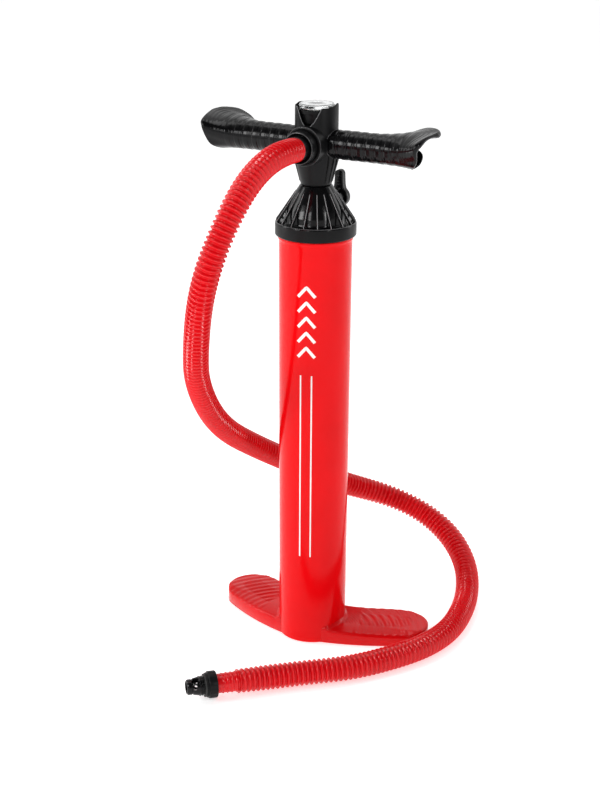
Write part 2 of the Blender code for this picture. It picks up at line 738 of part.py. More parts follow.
def make_fitting(finishes):
    """The bayonet fitting; heights are distances past the end of the hose."""
    body = joint_frame("fitting", FITTING_AT)
    cuff = tube_profile(SPIGOT_CLEAR_RADIUS, CUFF_RADIUS, -CUFF_END_LENGTH, -0.8)
    turned("hose_cuff_end", cuff, finishes["hose_red"], None, FITTING_AT, FITTING_HEADING)
    nose = [(6.0, -18), (9.0, -18), (9.0, -0.3), (12.8, -0.3), (12.8, 10.7), (9.4, 10.7), (9.2, 29)]
    nose += [(8.4, 33), (6.0, 33)]
    nozzle = turned("nozzle_body", nose, finishes["black"], body, FITTING_AT, FITTING_HEADING)
    port = bmesh.new()
    sideways = Matrix.Translation((0, 0, 22)) @ Matrix.Rotation(math.radians(90), 4, "Y")
    add_turned(port, rod_profile(3.0, -20, 20), 16, sideways)
    operand = store(port, "port_operand", finishes["black"], body, FITTING_AT, FITTING_HEADING)
    combine(nozzle, operand, "DIFFERENCE")
    collar = [(13.1, -0.5), (15.2, -0.5), (16.0, 0.5), (16.0, 8.2), (15.4, 9.0), (14.6, 9.0)]
    collar += [(14.6, 11.0), (13.1, 11.0)]
    turned("nozzle_collar", collar, finishes["black"], body, FITTING_AT, FITTING_HEADING)
    gasket = tube_profile(9.7, 12.6, 11.0, 12.8)
    turned("nozzle_gasket", gasket, finishes["rubber"], body, FITTING_AT, FITTING_HEADING)


def spline_through(points, spacing):
    """A smooth curve (natural cubic spline) through points, read off at an even spacing."""
    knots = numpy.array(points, dtype=float)
    count = len(knots)
    chord = numpy.linalg.norm(numpy.diff(knots, axis=0), axis=1)
    matrix = numpy.zeros((count, count))
    right = numpy.zeros((count, 3))
    matrix[0, 0] = matrix[-1, -1] = 1.0
    for k in range(1, count - 1):
        before, after = chord[k - 1], chord[k]
        matrix[k, k - 1 : k + 2] = before, 2 * (before + after), after
        right[k] = 6 * ((knots[k + 1] - knots[k]) / after - (knots[k] - knots[k - 1]) / before)
    bend = numpy.linalg.solve(matrix, right)
    fine = []
    for k in range(count - 1):
        h = chord[k]
        for t in numpy.linspace(0, 1, 24, endpoint=False):
            a, b = 1 - t, t
            point = a * knots[k] + b * knots[k + 1]
            point = point + h * h / 6 * ((a**3 - a) * bend[k] + (b**3 - b) * bend[k + 1])
            fine.append(point)
    fine.append(knots[-1])
    fine = numpy.array(fine)
    along = numpy.concatenate([[0], numpy.cumsum(numpy.linalg.norm(numpy.diff(fine, axis=0), axis=1))])
    steps = max(2, round(along[-1] / spacing) + 1)
    places = numpy.linspace(0, along[-1], steps)
    return [tuple(numpy.interp(place, along, fine[:, axis]) for axis in range(3)) for place in places]


def cord(name, points, radius, resolution, material):
    """A round tube with filled ends along points."""
    curve = bpy.data.curves.new(name, "CURVE")
    curve.dimensions = "3D"
    curve.bevel_depth = radius * MM
    curve.bevel_resolution = resolution
    curve.use_fill_caps = True
    line = curve.splines.new("POLY")
    line.points.add(len(points) - 1)
    for point, place_mm in zip(line.points, points):
        point.co = (*(Vector(place_mm) * MM), 1.0)
    curve.materials.append(material)
    item = bpy.data.objects.new(name, curve)
    bpy.context.scene.collection.objects.link(item)
    return item


def make_hose(finishes):
    """The free hose; its first and last few millimetres run straight, square to the two cuffs."""
    start = Vector(ROUTE[0])
    end = Vector(FITTING_AT) - FITTING_HEADING * (CUFF_END_LENGTH + TUBE_GAP)
    line = spline_through(ROUTE + [tuple(end)], 1.5 * 2 * HOSE_RADIUS)
    line.insert(1, tuple(start + OUTLET * SQUARE_END))
    line.insert(-1, tuple(end - FITTING_HEADING * SQUARE_END))
    cord("hose", line, HOSE_RADIUS, 3, finishes["hose_red"])


def main():
    clear_scene()
    finishes = make_finishes()
    handle = joint_frame("handle", (0, 0, HANDLE_Z))
    make_barrel(finishes)
    make_cap(finishes)
    make_cap_inside(finishes)
    make_mode_lever(finishes)
    make_rod(finishes, handle)
    make_piston(finishes, handle)
    make_hub(finishes, handle)
    make_grip(finishes, handle, "left_grip", -1)
    make_grip(finishes, handle, "right_grip", 1)
    make_gauge(finishes, handle)
    make_gauge_movement(finishes)
    make_outlet(finishes, handle)
    make_fitting(finishes)
    make_hose(finishes)


main()
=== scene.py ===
"""Double action hand pump: the detailed surface of every visible piece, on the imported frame.

Sizes are in millimetres, and each mesh is scaled to metres when it is stored.
"""

import math

import bmesh
import bpy
import numpy
from mathutils import Matrix, Vector


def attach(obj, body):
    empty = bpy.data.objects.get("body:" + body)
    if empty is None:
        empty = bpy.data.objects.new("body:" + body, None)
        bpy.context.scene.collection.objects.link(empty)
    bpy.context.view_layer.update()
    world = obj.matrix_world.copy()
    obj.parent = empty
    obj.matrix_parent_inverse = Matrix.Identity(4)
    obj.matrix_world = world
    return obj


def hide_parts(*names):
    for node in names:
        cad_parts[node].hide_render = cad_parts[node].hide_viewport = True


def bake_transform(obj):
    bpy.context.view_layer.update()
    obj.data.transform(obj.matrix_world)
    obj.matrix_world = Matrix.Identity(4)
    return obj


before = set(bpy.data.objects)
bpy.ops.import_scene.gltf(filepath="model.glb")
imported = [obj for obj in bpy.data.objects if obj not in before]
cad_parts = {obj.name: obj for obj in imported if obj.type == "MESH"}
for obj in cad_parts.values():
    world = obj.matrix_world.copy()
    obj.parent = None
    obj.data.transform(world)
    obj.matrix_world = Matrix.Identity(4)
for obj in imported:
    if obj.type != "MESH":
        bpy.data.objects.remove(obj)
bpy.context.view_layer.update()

MM = 0.001
UP = Vector((0, 0, 1))
OUTLET = Vector((0, -1, 0))

# Barrel and feet
BARREL_FOOT_RADIUS = 38.3
BARREL_TOP_RADIUS = 40.0
BARREL_HEIGHT = 469
FOOT_ROOT_HEIGHT = 20.3
FOOT_SLOPE = {1: 0.043, -1: 0.018}
FOOT_TIP_CENTRE = (98.0, 36.0)
FOOT_TIP_RADIUS = 31.0
TREAD_CENTRE = (17.0, -29.0)
TREAD_PITCH = 9.3
PRINT_ANGLE = -76.0

# Cap
CAP_BOTTOM = 473.6
CAP_DECK = 488.5
CAP_TOP = 528.7
CONE_TOP_RADIUS = 17.6
DECK_RADIUS = 43.3
FIN_COUNT = 18
LEVER_Z = 503.5
LEVER_BOSS_END = 52.0
LEVER_ARM = 25.5

# Handle
HANDLE_Z = 574.0
HUB_RADIUS = 23.3
HUB_BOTTOM = 529.0
HUB_RIM = 613.6
HORN_TOP = 616.6
NOTCH_BOTTOM = 593.3
NOTCH_SHIFT = 1.2
NOTCH_SPREAD = math.radians(44)
GRIP_ROOT = 18.4
GRIP_NECK = 15.0
GRIP_BORE = 10.9
GRIP_FLARE_START = 62.0
GRIP_RADIUS = 15.3
GRIP_PITCH = 10.8
GRIP_RIM = [
    (113, 0, -18), (120, -14.5, -13), (124, -20.5, -4), (124, -25.5, 5), (125.5, -23.5, 14),
    (129.5, -12, 18.5), (133, 3, 20.5), (133.5, 14, 21.5), (126, 24, 22.5), (110, 31, 20), (92, 28, 11),
    (100, 22, 2), (115, 17, -5), (116, 10.5, -14),
]

# Hose and fitting
HOSE_RADIUS = 13.9
HOSE_VALLEY = 11.1
HOSE_PITCH = 5.5
SLEEVE_LENGTH = 25.0
FITTING_AT = Vector((-14.5, -197.5, 16.3))
FITTING_HEADING = Vector((-0.723, -0.691, 0.0)).normalized()
ROUTE = [
    (0, -50, 574), (-1, -91, 573), (-5, -134, 557), (-12, -169, 521), (-26, -184, 472), (-43, -175, 421),
    (-58, -156, 379), (-73, -131, 339), (-84, -100, 302), (-92, -65, 268), (-96, -26, 237), (-96, 16, 210),
    (-90, 58, 184), (-74, 98, 158), (-56, 136, 133), (-39, 174, 111), (-3, 208, 91), (41, 220, 72),
    (85, 209, 50), (117, 180, 28), (134, 144, 16.3), (147, 97, 14.3), (153, 42, 14.3), (144, -7, 14.3),
    (122, -52, 14.3), (93, -92, 14.3), (59, -124, 14.5), (30, -152, 15),
]

# Body, CAD node and material slot of the pieces that are made of several parts
ON_CAP = ("barrel", "cap", "black")
ON_HUB = ("handle", "handle_hub", "black")
ON_NUT = ("hose_nut", "hose_nut", "black")

# Place and axis of turned pieces that aren't upright
AT_OUTLET = {"at": (0, 0, HANDLE_Z), "axis": OUTLET}
AT_FITTING = {"at": FITTING_AT, "axis": FITTING_HEADING}


# ---- Materials


class Nodes:
    """A small helper to build the node tree of a material or a world."""

    def __init__(self, owner, shader="Principled BSDF", place="Object"):
        owner.use_nodes = True
        self.owner = owner
        self.tree = owner.node_tree
        self.shader = self.tree.nodes[shader]
        self.place = self.add("ShaderNodeTexCoord").outputs[place]

    def add(self, kind, **settings):
        node = self.tree.nodes.new(kind)
        for key, value in settings.items():
            setattr(node, key, value)
        return node

    def link(self, output, target):
        self.tree.links.new(output, target)

    def feed(self, output, name):
        self.link(output, self.shader.inputs[name])

    def set(self, name, value):
        self.shader.inputs[name].default_value = value

    def noise(self, scale, detail=3.0, stretch=None):
        node = self.add("ShaderNodeTexNoise")
        node.inputs["Scale"].default_value = scale
        node.inputs["Detail"].default_value = detail
        place = self.place
        if stretch:
            mapping = self.add("ShaderNodeMapping")
            mapping.inputs["Scale"].default_value = stretch
            self.link(place, mapping.inputs["Vector"])
            place = mapping.outputs["Vector"]
        self.link(place, node.inputs["Vector"])
        return node.outputs["Fac"]

    def remap(self, value, low, high, new_low, new_high):
        node = self.add("ShaderNodeMapRange")
        node.inputs["From Min"].default_value = low
        node.inputs["From Max"].default_value = high
        node.inputs["To Min"].default_value = new_low
        node.inputs["To Max"].default_value = new_high
        self.link(value, node.inputs["Value"])
        return node.outputs["Result"]

    def math(self, operation, a, b=None):
        node = self.add("ShaderNodeMath", operation=operation)
        for socket, value in zip(node.inputs, (a, b)):
            if value is None:
                continue
            if isinstance(value, (int, float)):
                socket.default_value = value
            else:
                self.link(value, socket)
        return node.outputs["Value"]

    def mix(self, factor, first, second):
        node = self.add("ShaderNodeMix", data_type="RGBA")
        self.link(factor, node.inputs["Factor"])
        node.inputs[6].default_value = (*first, 1)
        node.inputs[7].default_value = (*second, 1)
        return node.outputs[2]

    def bump(self, heights, edge):
        """Bump from (height output, distance in metres) pairs, over normals rounded at edges."""
        rounded = self.add("ShaderNodeBevel", samples=4)
        rounded.inputs["Radius"].default_value = edge
        normal = rounded.outputs["Normal"]
        for height, distance in heights:
            node = self.add("ShaderNodeBump")
            node.inputs["Distance"].default_value = distance
            node.inputs["Strength"].default_value = 1.0
            self.link(height, node.inputs["Height"])
            self.link(normal, node.inputs["Normal"])
            normal = node.outputs["Normal"]
        self.feed(normal, "Normal")

    def dot(self, direction):
        node = self.add("ShaderNodeVectorMath", operation="DOT_PRODUCT")
        node.inputs[1].default_value = direction
        self.link(self.place, node.inputs[0])
        return node.outputs["Value"]


def plastic(name, colour, drift_and_painted_highlight, roughness, grain, edge=0.0004, specular=0.35):
    """Moulded plastic: slight colour drift, uneven gloss, fine scratches and a moulded grain.

    roughness is (smooth, rough); grain is (noise scale per metre, depth in metres).
    """
    nodes = Nodes(bpy.data.materials.new(name))
    drift = nodes.noise(22.0, 4.0)
    nodes.feed(nodes.mix(nodes.remap(drift, 0.35, 0.7, 0, 1), colour, drift_and_painted_highlight), "Base Color")
    cloudy = nodes.noise(60.0, 5.0)
    scratches = nodes.noise(900.0, 2.0, (1.0, 1.0, 0.04))
    uneven = nodes.math("ADD", cloudy, nodes.math("MULTIPLY", scratches, 0.5))
    nodes.feed(nodes.remap(uneven, 0.5, 1.0, *roughness), "Roughness")
    nodes.set("Specular IOR Level", specular)
    fine = nodes.noise(grain[0], 2.0)
    nodes.bump([(fine, grain[1]), (cloudy, 0.00001)], edge)
    return nodes.owner


def rubber(name, colour):
    nodes = Nodes(bpy.data.materials.new(name))
    dust = nodes.noise(90.0, 6.0)
    nodes.feed(nodes.mix(nodes.remap(dust, 0.4, 0.75, 0, 1), colour, (0.06, 0.06, 0.058)), "Base Color")
    nodes.feed(nodes.remap(dust, 0.3, 0.8, 0.55, 0.85), "Roughness")
    nodes.bump([(nodes.noise(1800.0), 0.00005)], 0.0002)
    return nodes.owner


def metal(name, colour, roughness, stretch):
    """Machined metal, with fine lines along the stretched direction."""
    nodes = Nodes(bpy.data.materials.new(name))
    lines = nodes.noise(1500.0, 3.0, stretch)
    tarnish = nodes.noise(45.0, 5.0)
    dull = tuple(0.78 * channel for channel in colour)
    nodes.feed(nodes.mix(nodes.remap(tarnish, 0.4, 0.7, 0, 1), colour, dull), "Base Color")
    nodes.set("Metallic", 1.0)
    uneven = nodes.math("ADD", lines, tarnish)
    nodes.feed(nodes.remap(uneven, 0.7, 1.3, *roughness), "Roughness")
    nodes.bump([(lines, 0.00002)], 0.0002)
    return nodes.owner


def acrylic(name):
    nodes = Nodes(bpy.data.materials.new(name))
    haze = nodes.noise(120.0, 5.0)
    nodes.set("Base Color", (0.97, 0.985, 0.985, 1))
    nodes.set("Transmission Weight", 1.0)
    nodes.set("IOR", 1.49)
    nodes.feed(nodes.remap(haze, 0.4, 0.8, 0.0, 0.05), "Roughness")
    nodes.bump([(nodes.noise(300.0), 0.00001)], 0.0003)
    return nodes.owner


def knurled(name):
    """Black plastic with a fine diamond pattern."""
    nodes = Nodes(bpy.data.materials.new(name))
    nodes.set("Base Color", (0.002, 0.002, 0.0022, 1))
    nodes.set("Specular IOR Level", 0.12)
    nodes.feed(nodes.remap(nodes.noise(80.0, 4.0), 0.3, 0.7, 0.3, 0.5), "Roughness")
    parts = nodes.add("ShaderNodeSeparateXYZ")
    nodes.link(nodes.place, parts.inputs["Vector"])
    diagonals = []
    for sign in (1, -1):
        across = nodes.math("ADD", parts.outputs["X"], nodes.math("MULTIPLY", parts.outputs["Z"], sign))
        diagonals.append(nodes.math("SINE", nodes.math("MULTIPLY", across, 2600.0)))
    nodes.bump([(nodes.math("MULTIPLY", *diagonals), 0.0004)], 0.0003)
    return nodes.owner


def make_materials():
    black = (0.0035, 0.0035, 0.004)
    return {
        "red": plastic(
            "red_moulding", (0.72, 0.002, 0.005), (0.67, 0.002, 0.004), (0.12, 0.2), (2600, 0.000003), 0.0005, 0.16
        ),
        # A darker copy of the barrel's red for the foot plates of the same moulding: painted shade.
        "foot": plastic(
            "red_foot_painted_shade", (0.64, 0.002, 0.005), (0.58, 0.002, 0.004), (0.13, 0.22), (2200, 0.000004), 0.0008, 0.24
        ),
        "hose": plastic(
            "red_hose", (0.66, 0.002, 0.007), (0.62, 0.002, 0.006), (0.12, 0.2), (1800, 0.000002), 0.0001, 0.4
        ),
        "satin": plastic(
            "black_satin", (0.0055, 0.0055, 0.006), (0.008, 0.008, 0.0085), (0.3, 0.42), (2600, 0.00001), 0.0007, 0.16
        ),
        # Light grey for the edges of the cap's fins: a painted highlight.
        "drift_and_painted_highlight": plastic(
            "black_fin_painted_highlight", (0.27, 0.27, 0.275), (0.15, 0.15, 0.153), (0.16, 0.3), (2600, 0.000003), 0.0002, 0.4
        ),
        "gloss": plastic("black_gloss", (0.0025, 0.0025, 0.003), black, (0.1, 0.2), (2000, 0.000004), 0.0005, 0.3),
        # Dark grey for thin edge beads on the hub, nut and cap rim: a painted highlight.
        "edge": plastic(
            "black_edge_painted_highlight", (0.085, 0.085, 0.088), (0.045, 0.045, 0.047), (0.16, 0.3), (2600, 0.000003), 0.0002, 0.4
        ),
        "grip": plastic("black_grip", (0.0025, 0.0025, 0.003), black, (0.12, 0.22), (2200, 0.000003), 0.0003, 0.24),
        "rubber": rubber("black_rubber", (0.02, 0.02, 0.02)),
        "natural": plastic("natural_nylon", (0.78, 0.75, 0.66), (0.7, 0.66, 0.56), (0.35, 0.5), (1500, 0.00003)),
        "dial": plastic("dial_white", (0.46, 0.46, 0.45), (0.36, 0.36, 0.35), (0.3, 0.45), (1500, 0.00001)),
        "ink": plastic("white_ink", (0.85, 0.85, 0.84), (0.75, 0.73, 0.72), (0.35, 0.5), (2500, 0.00002)),
        "needle": plastic("needle_red", (0.6, 0.02, 0.02), (0.5, 0.02, 0.02), (0.3, 0.4), (2500, 0.00001)),
        "aluminium": metal("aluminium_tube", (0.5, 0.5, 0.52), (0.16, 0.3), (1, 1, 0.02)),
        "brass": metal("brass_parts", (0.83, 0.62, 0.27), (0.2, 0.38), (0.05, 1, 1)),
        "steel": metal("steel_screw", (0.62, 0.62, 0.64), (0.22, 0.4), (1, 0.05, 1)),
        "clear": acrylic("clear_acrylic"),
        "knurl": knurled("black_knurl"),
    }


MATERIALS = make_materials()

CAD_FINISHES = {
    "satin": "cap seal_retainer piston_upper_plate piston_lower_plate hose_connector",
    "rubber": "cap_oring rod_seal lever_oring intake_flap piston_flap piston_seal outlet_valve"
    " outlet_gasket nozzle_gasket",
    "natural": "rod_guide_bush inner_air_tube",
    "aluminium": "piston_rod",
    "brass": "gauge_socket bourdon_tube gauge_sector gauge_pinion",
    "steel": "retainer_screw_1 retainer_screw_2 retainer_screw_3 piston_screw_1 piston_screw_2 piston_screw_3"
    " grip_screw_left grip_screw_right",
    "needle": "gauge_needle",
    "dial": "gauge_dial",
}


def paint_cad_nodes():
    for look, names in CAD_FINISHES.items():
        for name in names.split():
            for material_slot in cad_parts[name].material_slots:
                material_slot.material = MATERIALS[look]


# ---- Mesh tools


def add_ring_band(shape, lower, upper):
    """Faces between two rings of points, where a ring of one point is a pole."""
    count = max(len(lower), len(upper))
    if count == 1:
        return
    for k in range(count):
        corners = [lower[k % len(lower)], lower[(k + 1) % len(lower)]]
        corners += [upper[(k + 1) % len(upper)], upper[k % len(upper)]]
        shape.faces.new(list(dict.fromkeys(corners)))


def add_rings(shape, rings, closed):
    made = [[shape.verts.new(point) for point in ring] for ring in rings]
    for lower, upper in zip(made, made[1:]):
        add_ring_band(shape, lower, upper)
    if closed:
        add_ring_band(shape, made[-1], made[0])
    return made


def add_sleeve(shape, rings):
    """Rings joined into a solid, with one face over each end."""
    made = add_rings(shape, rings, closed=False)
    for end in (made[0], made[-1]):
        shape.faces.new(end)


def turns(count):
    """Angles spaced evenly round a circle."""
    return [2 * math.pi * k / count for k in range(count)]


def round_point(radius, angle, height):
    return (radius * math.cos(angle), radius * math.sin(angle), height)


def add_fluted(shape, profile, segments, flute):
    """A turned ring that is cut back by flute(angle, radius, height)."""
    rings = []
    for radius, height in profile:
        rings.append([round_point(radius - flute(a, radius, height), a, height) for a in turns(segments)])
    add_rings(shape, rings, closed=True)


def lying(height, degrees, axis):
    """The place of a solid that is turned down from upright about an axis, at a height."""
    return Matrix.Translation((0, 0, height)) @ Matrix.Rotation(math.radians(degrees), 4, axis)


def add_turned(shape, profile, segments=96, matrix=Matrix()):
    """A turned solid from (radius, height) points, touching its axis at both ends or at neither."""
    rings = []
    for radius, height in profile:
        if radius == 0:
            rings.append([matrix @ Vector((0, 0, height))])
            continue
        rings.append([matrix @ Vector(round_point(radius, angle, height)) for angle in turns(segments)])
    add_rings(shape, rings, closed=profile[0][0] > 0)


def add_prism(shape, outline, low, high, matrix=Matrix()):
    ends = []
    for height in (low, high):
        ends.append([shape.verts.new(matrix @ Vector((x, y, height))) for x, y in outline])
    add_ring_band(shape, *ends)
    for end in ends:
        shape.faces.new(end)


def rounded(profile, radius, steps=4):
    """The open outline with each inner corner rounded off."""
    points = [Vector(point) for point in profile]
    smooth = [tuple(points[0])]
    for before, corner, after in zip(points, points[1:], points[2:]):
        reach = min(radius, (before - corner).length * 0.45, (after - corner).length * 0.45)
        start = corner + (before - corner).normalized() * reach
        end = corner + (after - corner).normalized() * reach
        for k in range(steps + 1):
            t = k / steps
            smooth.append(tuple(start * (1 - t) ** 2 + corner * 2 * t * (1 - t) + end * t**2))
    smooth.append(tuple(points[-1]))
    return smooth


def tube_profile(inner, outer, low, high):
    return [(inner, low), (outer, low), (outer, high), (inner, high)]


def closed_profile(profile, radius, steps=3):
    """A ring's cross-section with every corner rounded off."""
    first = tuple((Vector(profile[0]) + Vector(profile[-1])) / 2)
    return rounded([first] + list(profile) + [first], radius, steps)[:-1]


def add_object(name, data):
    item = bpy.data.objects.new(name, data)
    bpy.context.scene.collection.objects.link(item)
    return item


def piece(shape, name, look, body, node=None, slot=None, at=(0, 0, 0), axis=UP, sharp=40):
    """Store a bmesh in millimetres as a piece that rides a body and stands for a CAD node."""
    bmesh.ops.recalc_face_normals(shape, faces=shape.faces)
    turn = UP.rotation_difference(Vector(axis)).to_matrix().to_4x4()
    shape.transform(Matrix.Scale(MM, 4) @ Matrix.Translation(Vector(at)) @ turn)
    mesh = bpy.data.meshes.new(name)
    shape.to_mesh(mesh)
    shape.free()
    mesh.materials.append(MATERIALS[look])
    mesh.shade_smooth()
    mesh.set_sharp_from_angle(angle=math.radians(sharp))
    item = add_object(name, mesh)
    if body:
        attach(item, body)
    if node:
        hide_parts(node)
    return item


def turned_piece(name, profile, look, body, node=None, slot=None, at=(0, 0, 0), axis=UP, segments=96):
    shape = bmesh.new()
    add_turned(shape, profile, segments)
    return piece(shape, name, look, body, node, slot, at, axis)


def bezier(controls, count):
    points = []
    for k in range(count):
        t = k / (count - 1)
        level = [Vector(control) for control in controls]
        while len(level) > 1:
            level = [a.lerp(b, t) for a, b in zip(level, level[1:])]
        points.append(tuple(level[0]))
    return points


def arc(centre, radius, start, end, count):
    points = []
    for k in range(count):
        angle = math.radians(start + (end - start) * k / (count - 1))
        points.append((centre[0] + radius * math.cos(angle), centre[1] + radius * math.sin(angle)))
    return points


def smoothstep(value, low, high):
    t = min(max((value - low) / (high - low), 0.0), 1.0)
    return t * t * (3 - 2 * t)


def closed_spline(points, steps):
    """A smooth closed curve (Catmull-Rom) through points, with a number of steps between them."""
    knots = [Vector(point) for point in points]
    count = len(knots)
    curve = []
    for k in range(count):
        p0, p1, p2, p3 = knots[k - 1], knots[k], knots[(k + 1) % count], knots[(k + 2) % count]
        for step in range(steps):
            t = step / steps
            bend = (2 * p0 - 5 * p1 + 4 * p2 - p3) * t**2 + (3 * p1 - p0 - 3 * p2 + p3) * t**3
            curve.append((2 * p1 + (p2 - p0) * t + bend) / 2)
    return curve


# ---- Camera


def make_camera():
    data = bpy.data.cameras.new("camera")
    data.lens = 81.0
    data.sensor_width = 36.0
    item = add_object("camera", data)
    right = Vector((0.88193, 0.47134, 0.00602)).normalized()
    ahead = Vector((-0.44255, 0.83231, -0.33377)).normalized()
    up = right.cross(ahead)
    turn = Matrix((right, up, -ahead)).transposed()
    item.matrix_world = Matrix.Translation((0.87648, -1.68218, 0.95419)) @ turn.to_4x4()
    bpy.context.scene.camera = item


# ---- Hose


def spline_through(points, spacing):
    """A smooth curve (natural cubic spline) through points, read off at an even spacing."""
    knots = numpy.array(points, dtype=float)
    count = len(knots)
    chord = numpy.linalg.norm(numpy.diff(knots, axis=0), axis=1)
    matrix = numpy.zeros((count, count))
    right = numpy.zeros((count, 3))
    matrix[0, 0] = matrix[-1, -1] = 1.0
    for k in range(1, count - 1):
        before, after = chord[k - 1], chord[k]
        matrix[k, k - 1 : k + 2] = before, 2 * (before + after), after
        right[k] = 6 * ((knots[k + 1] - knots[k]) / after - (knots[k] - knots[k - 1]) / before)
    bend = numpy.linalg.solve(matrix, right)
    fine = []
    for k in range(count - 1):
        h = chord[k]
        for t in numpy.linspace(0, 1, 24, endpoint=False):
            a, b = 1 - t, t
            point = a * knots[k] + b * knots[k + 1]
            fine.append(point + h * h / 6 * ((a**3 - a) * bend[k] + (b**3 - b) * bend[k + 1]))
    fine.append(knots[-1])
    fine = numpy.array(fine)
    along = numpy.concatenate([[0], numpy.cumsum(numpy.linalg.norm(numpy.diff(fine, axis=0), axis=1))])
    steps = max(2, round(along[-1] / spacing) + 1)
    places = numpy.linspace(0, along[-1], steps)
    line = numpy.array([[numpy.interp(place, along, fine[:, axis]) for axis in range(3)] for place in places])
    return line, float(along[-1])


def ridge_radius(phase, share):
    """A corrugation: rounded crest, deep rounded valley. The hose is a little thinner at its ends."""
    wave = 0.5 + 0.5 * math.cos(2 * math.pi * phase)
    crest = HOSE_RADIUS - 0.6 * (1 - smoothstep(min(share, 1 - share), 0.0, 0.03))
    return HOSE_VALLEY + (crest - HOSE_VALLEY) * wave**0.8


def tube_frames(line):
    """Two sideways vectors at each point, with no twist from one to the next."""
    frames = []
    side = None
    for k in range(len(line)):
        ahead = Vector(line[min(k + 1, len(line) - 1)] - line[max(k - 1, 0)]).normalized()
        if side is None:
            side = ahead.orthogonal().normalized()
        side = (side - ahead * side.dot(ahead)).normalized()
        frames.append((side, ahead.cross(side)))
    return frames


def make_hose():
    samples = 10
    end = FITTING_AT - FITTING_HEADING * SLEEVE_LENGTH
    line, length = spline_through(ROUTE + [tuple(end)], HOSE_PITCH / samples)
    ridges = round(length / HOSE_PITCH)
    rings = []
    last = len(line) - 1
    for k, (point, (side, other)) in enumerate(zip(line, tube_frames(line))):
        radius = ridge_radius(k / last * ridges, k / last)
        rings.append([Vector(point) + (side * math.cos(a) + other * math.sin(a)) * radius for a in turns(32)])
    shape = bmesh.new()
    made = add_rings(shape, rings, closed=False)
    for k in (0, last):
        centre = Vector(line[k])
        mouth = [shape.verts.new(centre + (p - centre).normalized() * 10.0) for p in rings[k]]
        add_ring_band(shape, made[k], mouth)
        shape.faces.new(mouth)
    hose = piece(shape, "pump_hose", "hose", None, "hose", "hose_red", sharp=80)
    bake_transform(hose)
    path = [tuple(point * MM) for point in line[:: samples * 2]]
    if (Vector(path[-1]) - Vector(line[-1] * MM)).length > 0.0001:
        path.append(tuple(line[-1] * MM))
    on_hose = [make_top_cuff(), make_end_cuff(), make_nozzle_collar(), make_nozzle_nose(), "nozzle_gasket"]


def make_top_cuff():
    """The black ferrule that the hose comes out of, inside the nut."""
    profile = closed_profile([(9.4, 38.6), (13.1, 38.6), (13.3, 49.6), (12.9, 50.6), (9.4, 50.6)], 0.4)
    return turned_piece("hose_ferrule", profile, "satin", "handle", "hose_cuff_top", "black", segments=64, **AT_OUTLET)


def make_end_cuff():
    """The plain end of the hose, with a few small ridges."""
    low, high, ridges = -SLEEVE_LENGTH - 1.0, -0.2, 5
    profile = [(9.4, low), (10.9, low)]
    steps = 14 * ridges
    for k in range(steps + 1):
        wave = max(0.0, math.cos(2 * math.pi * ridges * (k / steps - 0.12))) ** 2
        radius = 10.9 - 0.3 * k / steps + 0.75 * wave * (1 - smoothstep(k / steps, 0.86, 0.9))
        profile.append((radius, low + 0.4 + (high - low - 0.8) * k / steps))
    profile += [(10.5, high), (9.4, high)]
    rides = ("barrel", "hose_cuff_end", "hose_red")
    return turned_piece("hose_end_sleeve", profile, "hose", *rides, segments=64, **AT_FITTING)


def make_nozzle_collar():
    """The grip ring of the fitting, with shallow flutes around it."""
    outline = [(10.9, -0.9), (14.2, -0.9), (14.9, -0.2), (15.0, 7.6), (14.4, 8.3), (13.5, 8.4), (13.5, 10.2)]
    profile = closed_profile(outline + [(12.9, 10.7), (10.9, 10.7)], 0.5)

    def flute(angle, radius, height):
        return 0.3 * max(0.0, math.cos(10 * angle)) * smoothstep(radius, 14.4, 14.8)

    shape = bmesh.new()
    add_fluted(shape, profile, 96, flute)
    return piece(shape, "fitting_collar", "satin", "fitting", "nozzle_collar", "black", **AT_FITTING)


def carve(shape, cutters):
    """The solid without the cutters, as a new bmesh."""
    items = []
    for number, solid in enumerate([shape] + cutters):
        bmesh.ops.recalc_face_normals(solid, faces=solid.faces)
        mesh = bpy.data.meshes.new(f"solid_{number}")
        solid.to_mesh(mesh)
        solid.free()
        items.append(add_object(f"solid_{number}", mesh))
    for item in items[1:]:
        cut = items[0].modifiers.new("cut", "BOOLEAN")
        cut.operation = "DIFFERENCE"
        cut.solver = "EXACT"
        cut.object = item
    bpy.context.view_layer.update()
    graph = bpy.context.evaluated_depsgraph_get()
    result = bmesh.new()
    result.from_mesh(items[0].evaluated_get(graph).data)
    for item in items:
        mesh = item.data
        bpy.data.objects.remove(item)
        bpy.data.meshes.remove(mesh)
    return result


def fitting_direction(elevation, lean):
    """A direction out of the fitting's side, in its own frame: raised by an angle and leaning to its tip."""
    side = FITTING_HEADING.cross(UP)
    raised = math.radians(elevation)
    world = -side * math.cos(raised) + UP * math.sin(raised)
    local = UP.rotation_difference(FITTING_HEADING).inverted() @ world
    lean = math.radians(lean)
    return (local * math.cos(lean) + UP * math.sin(lean)).normalized()


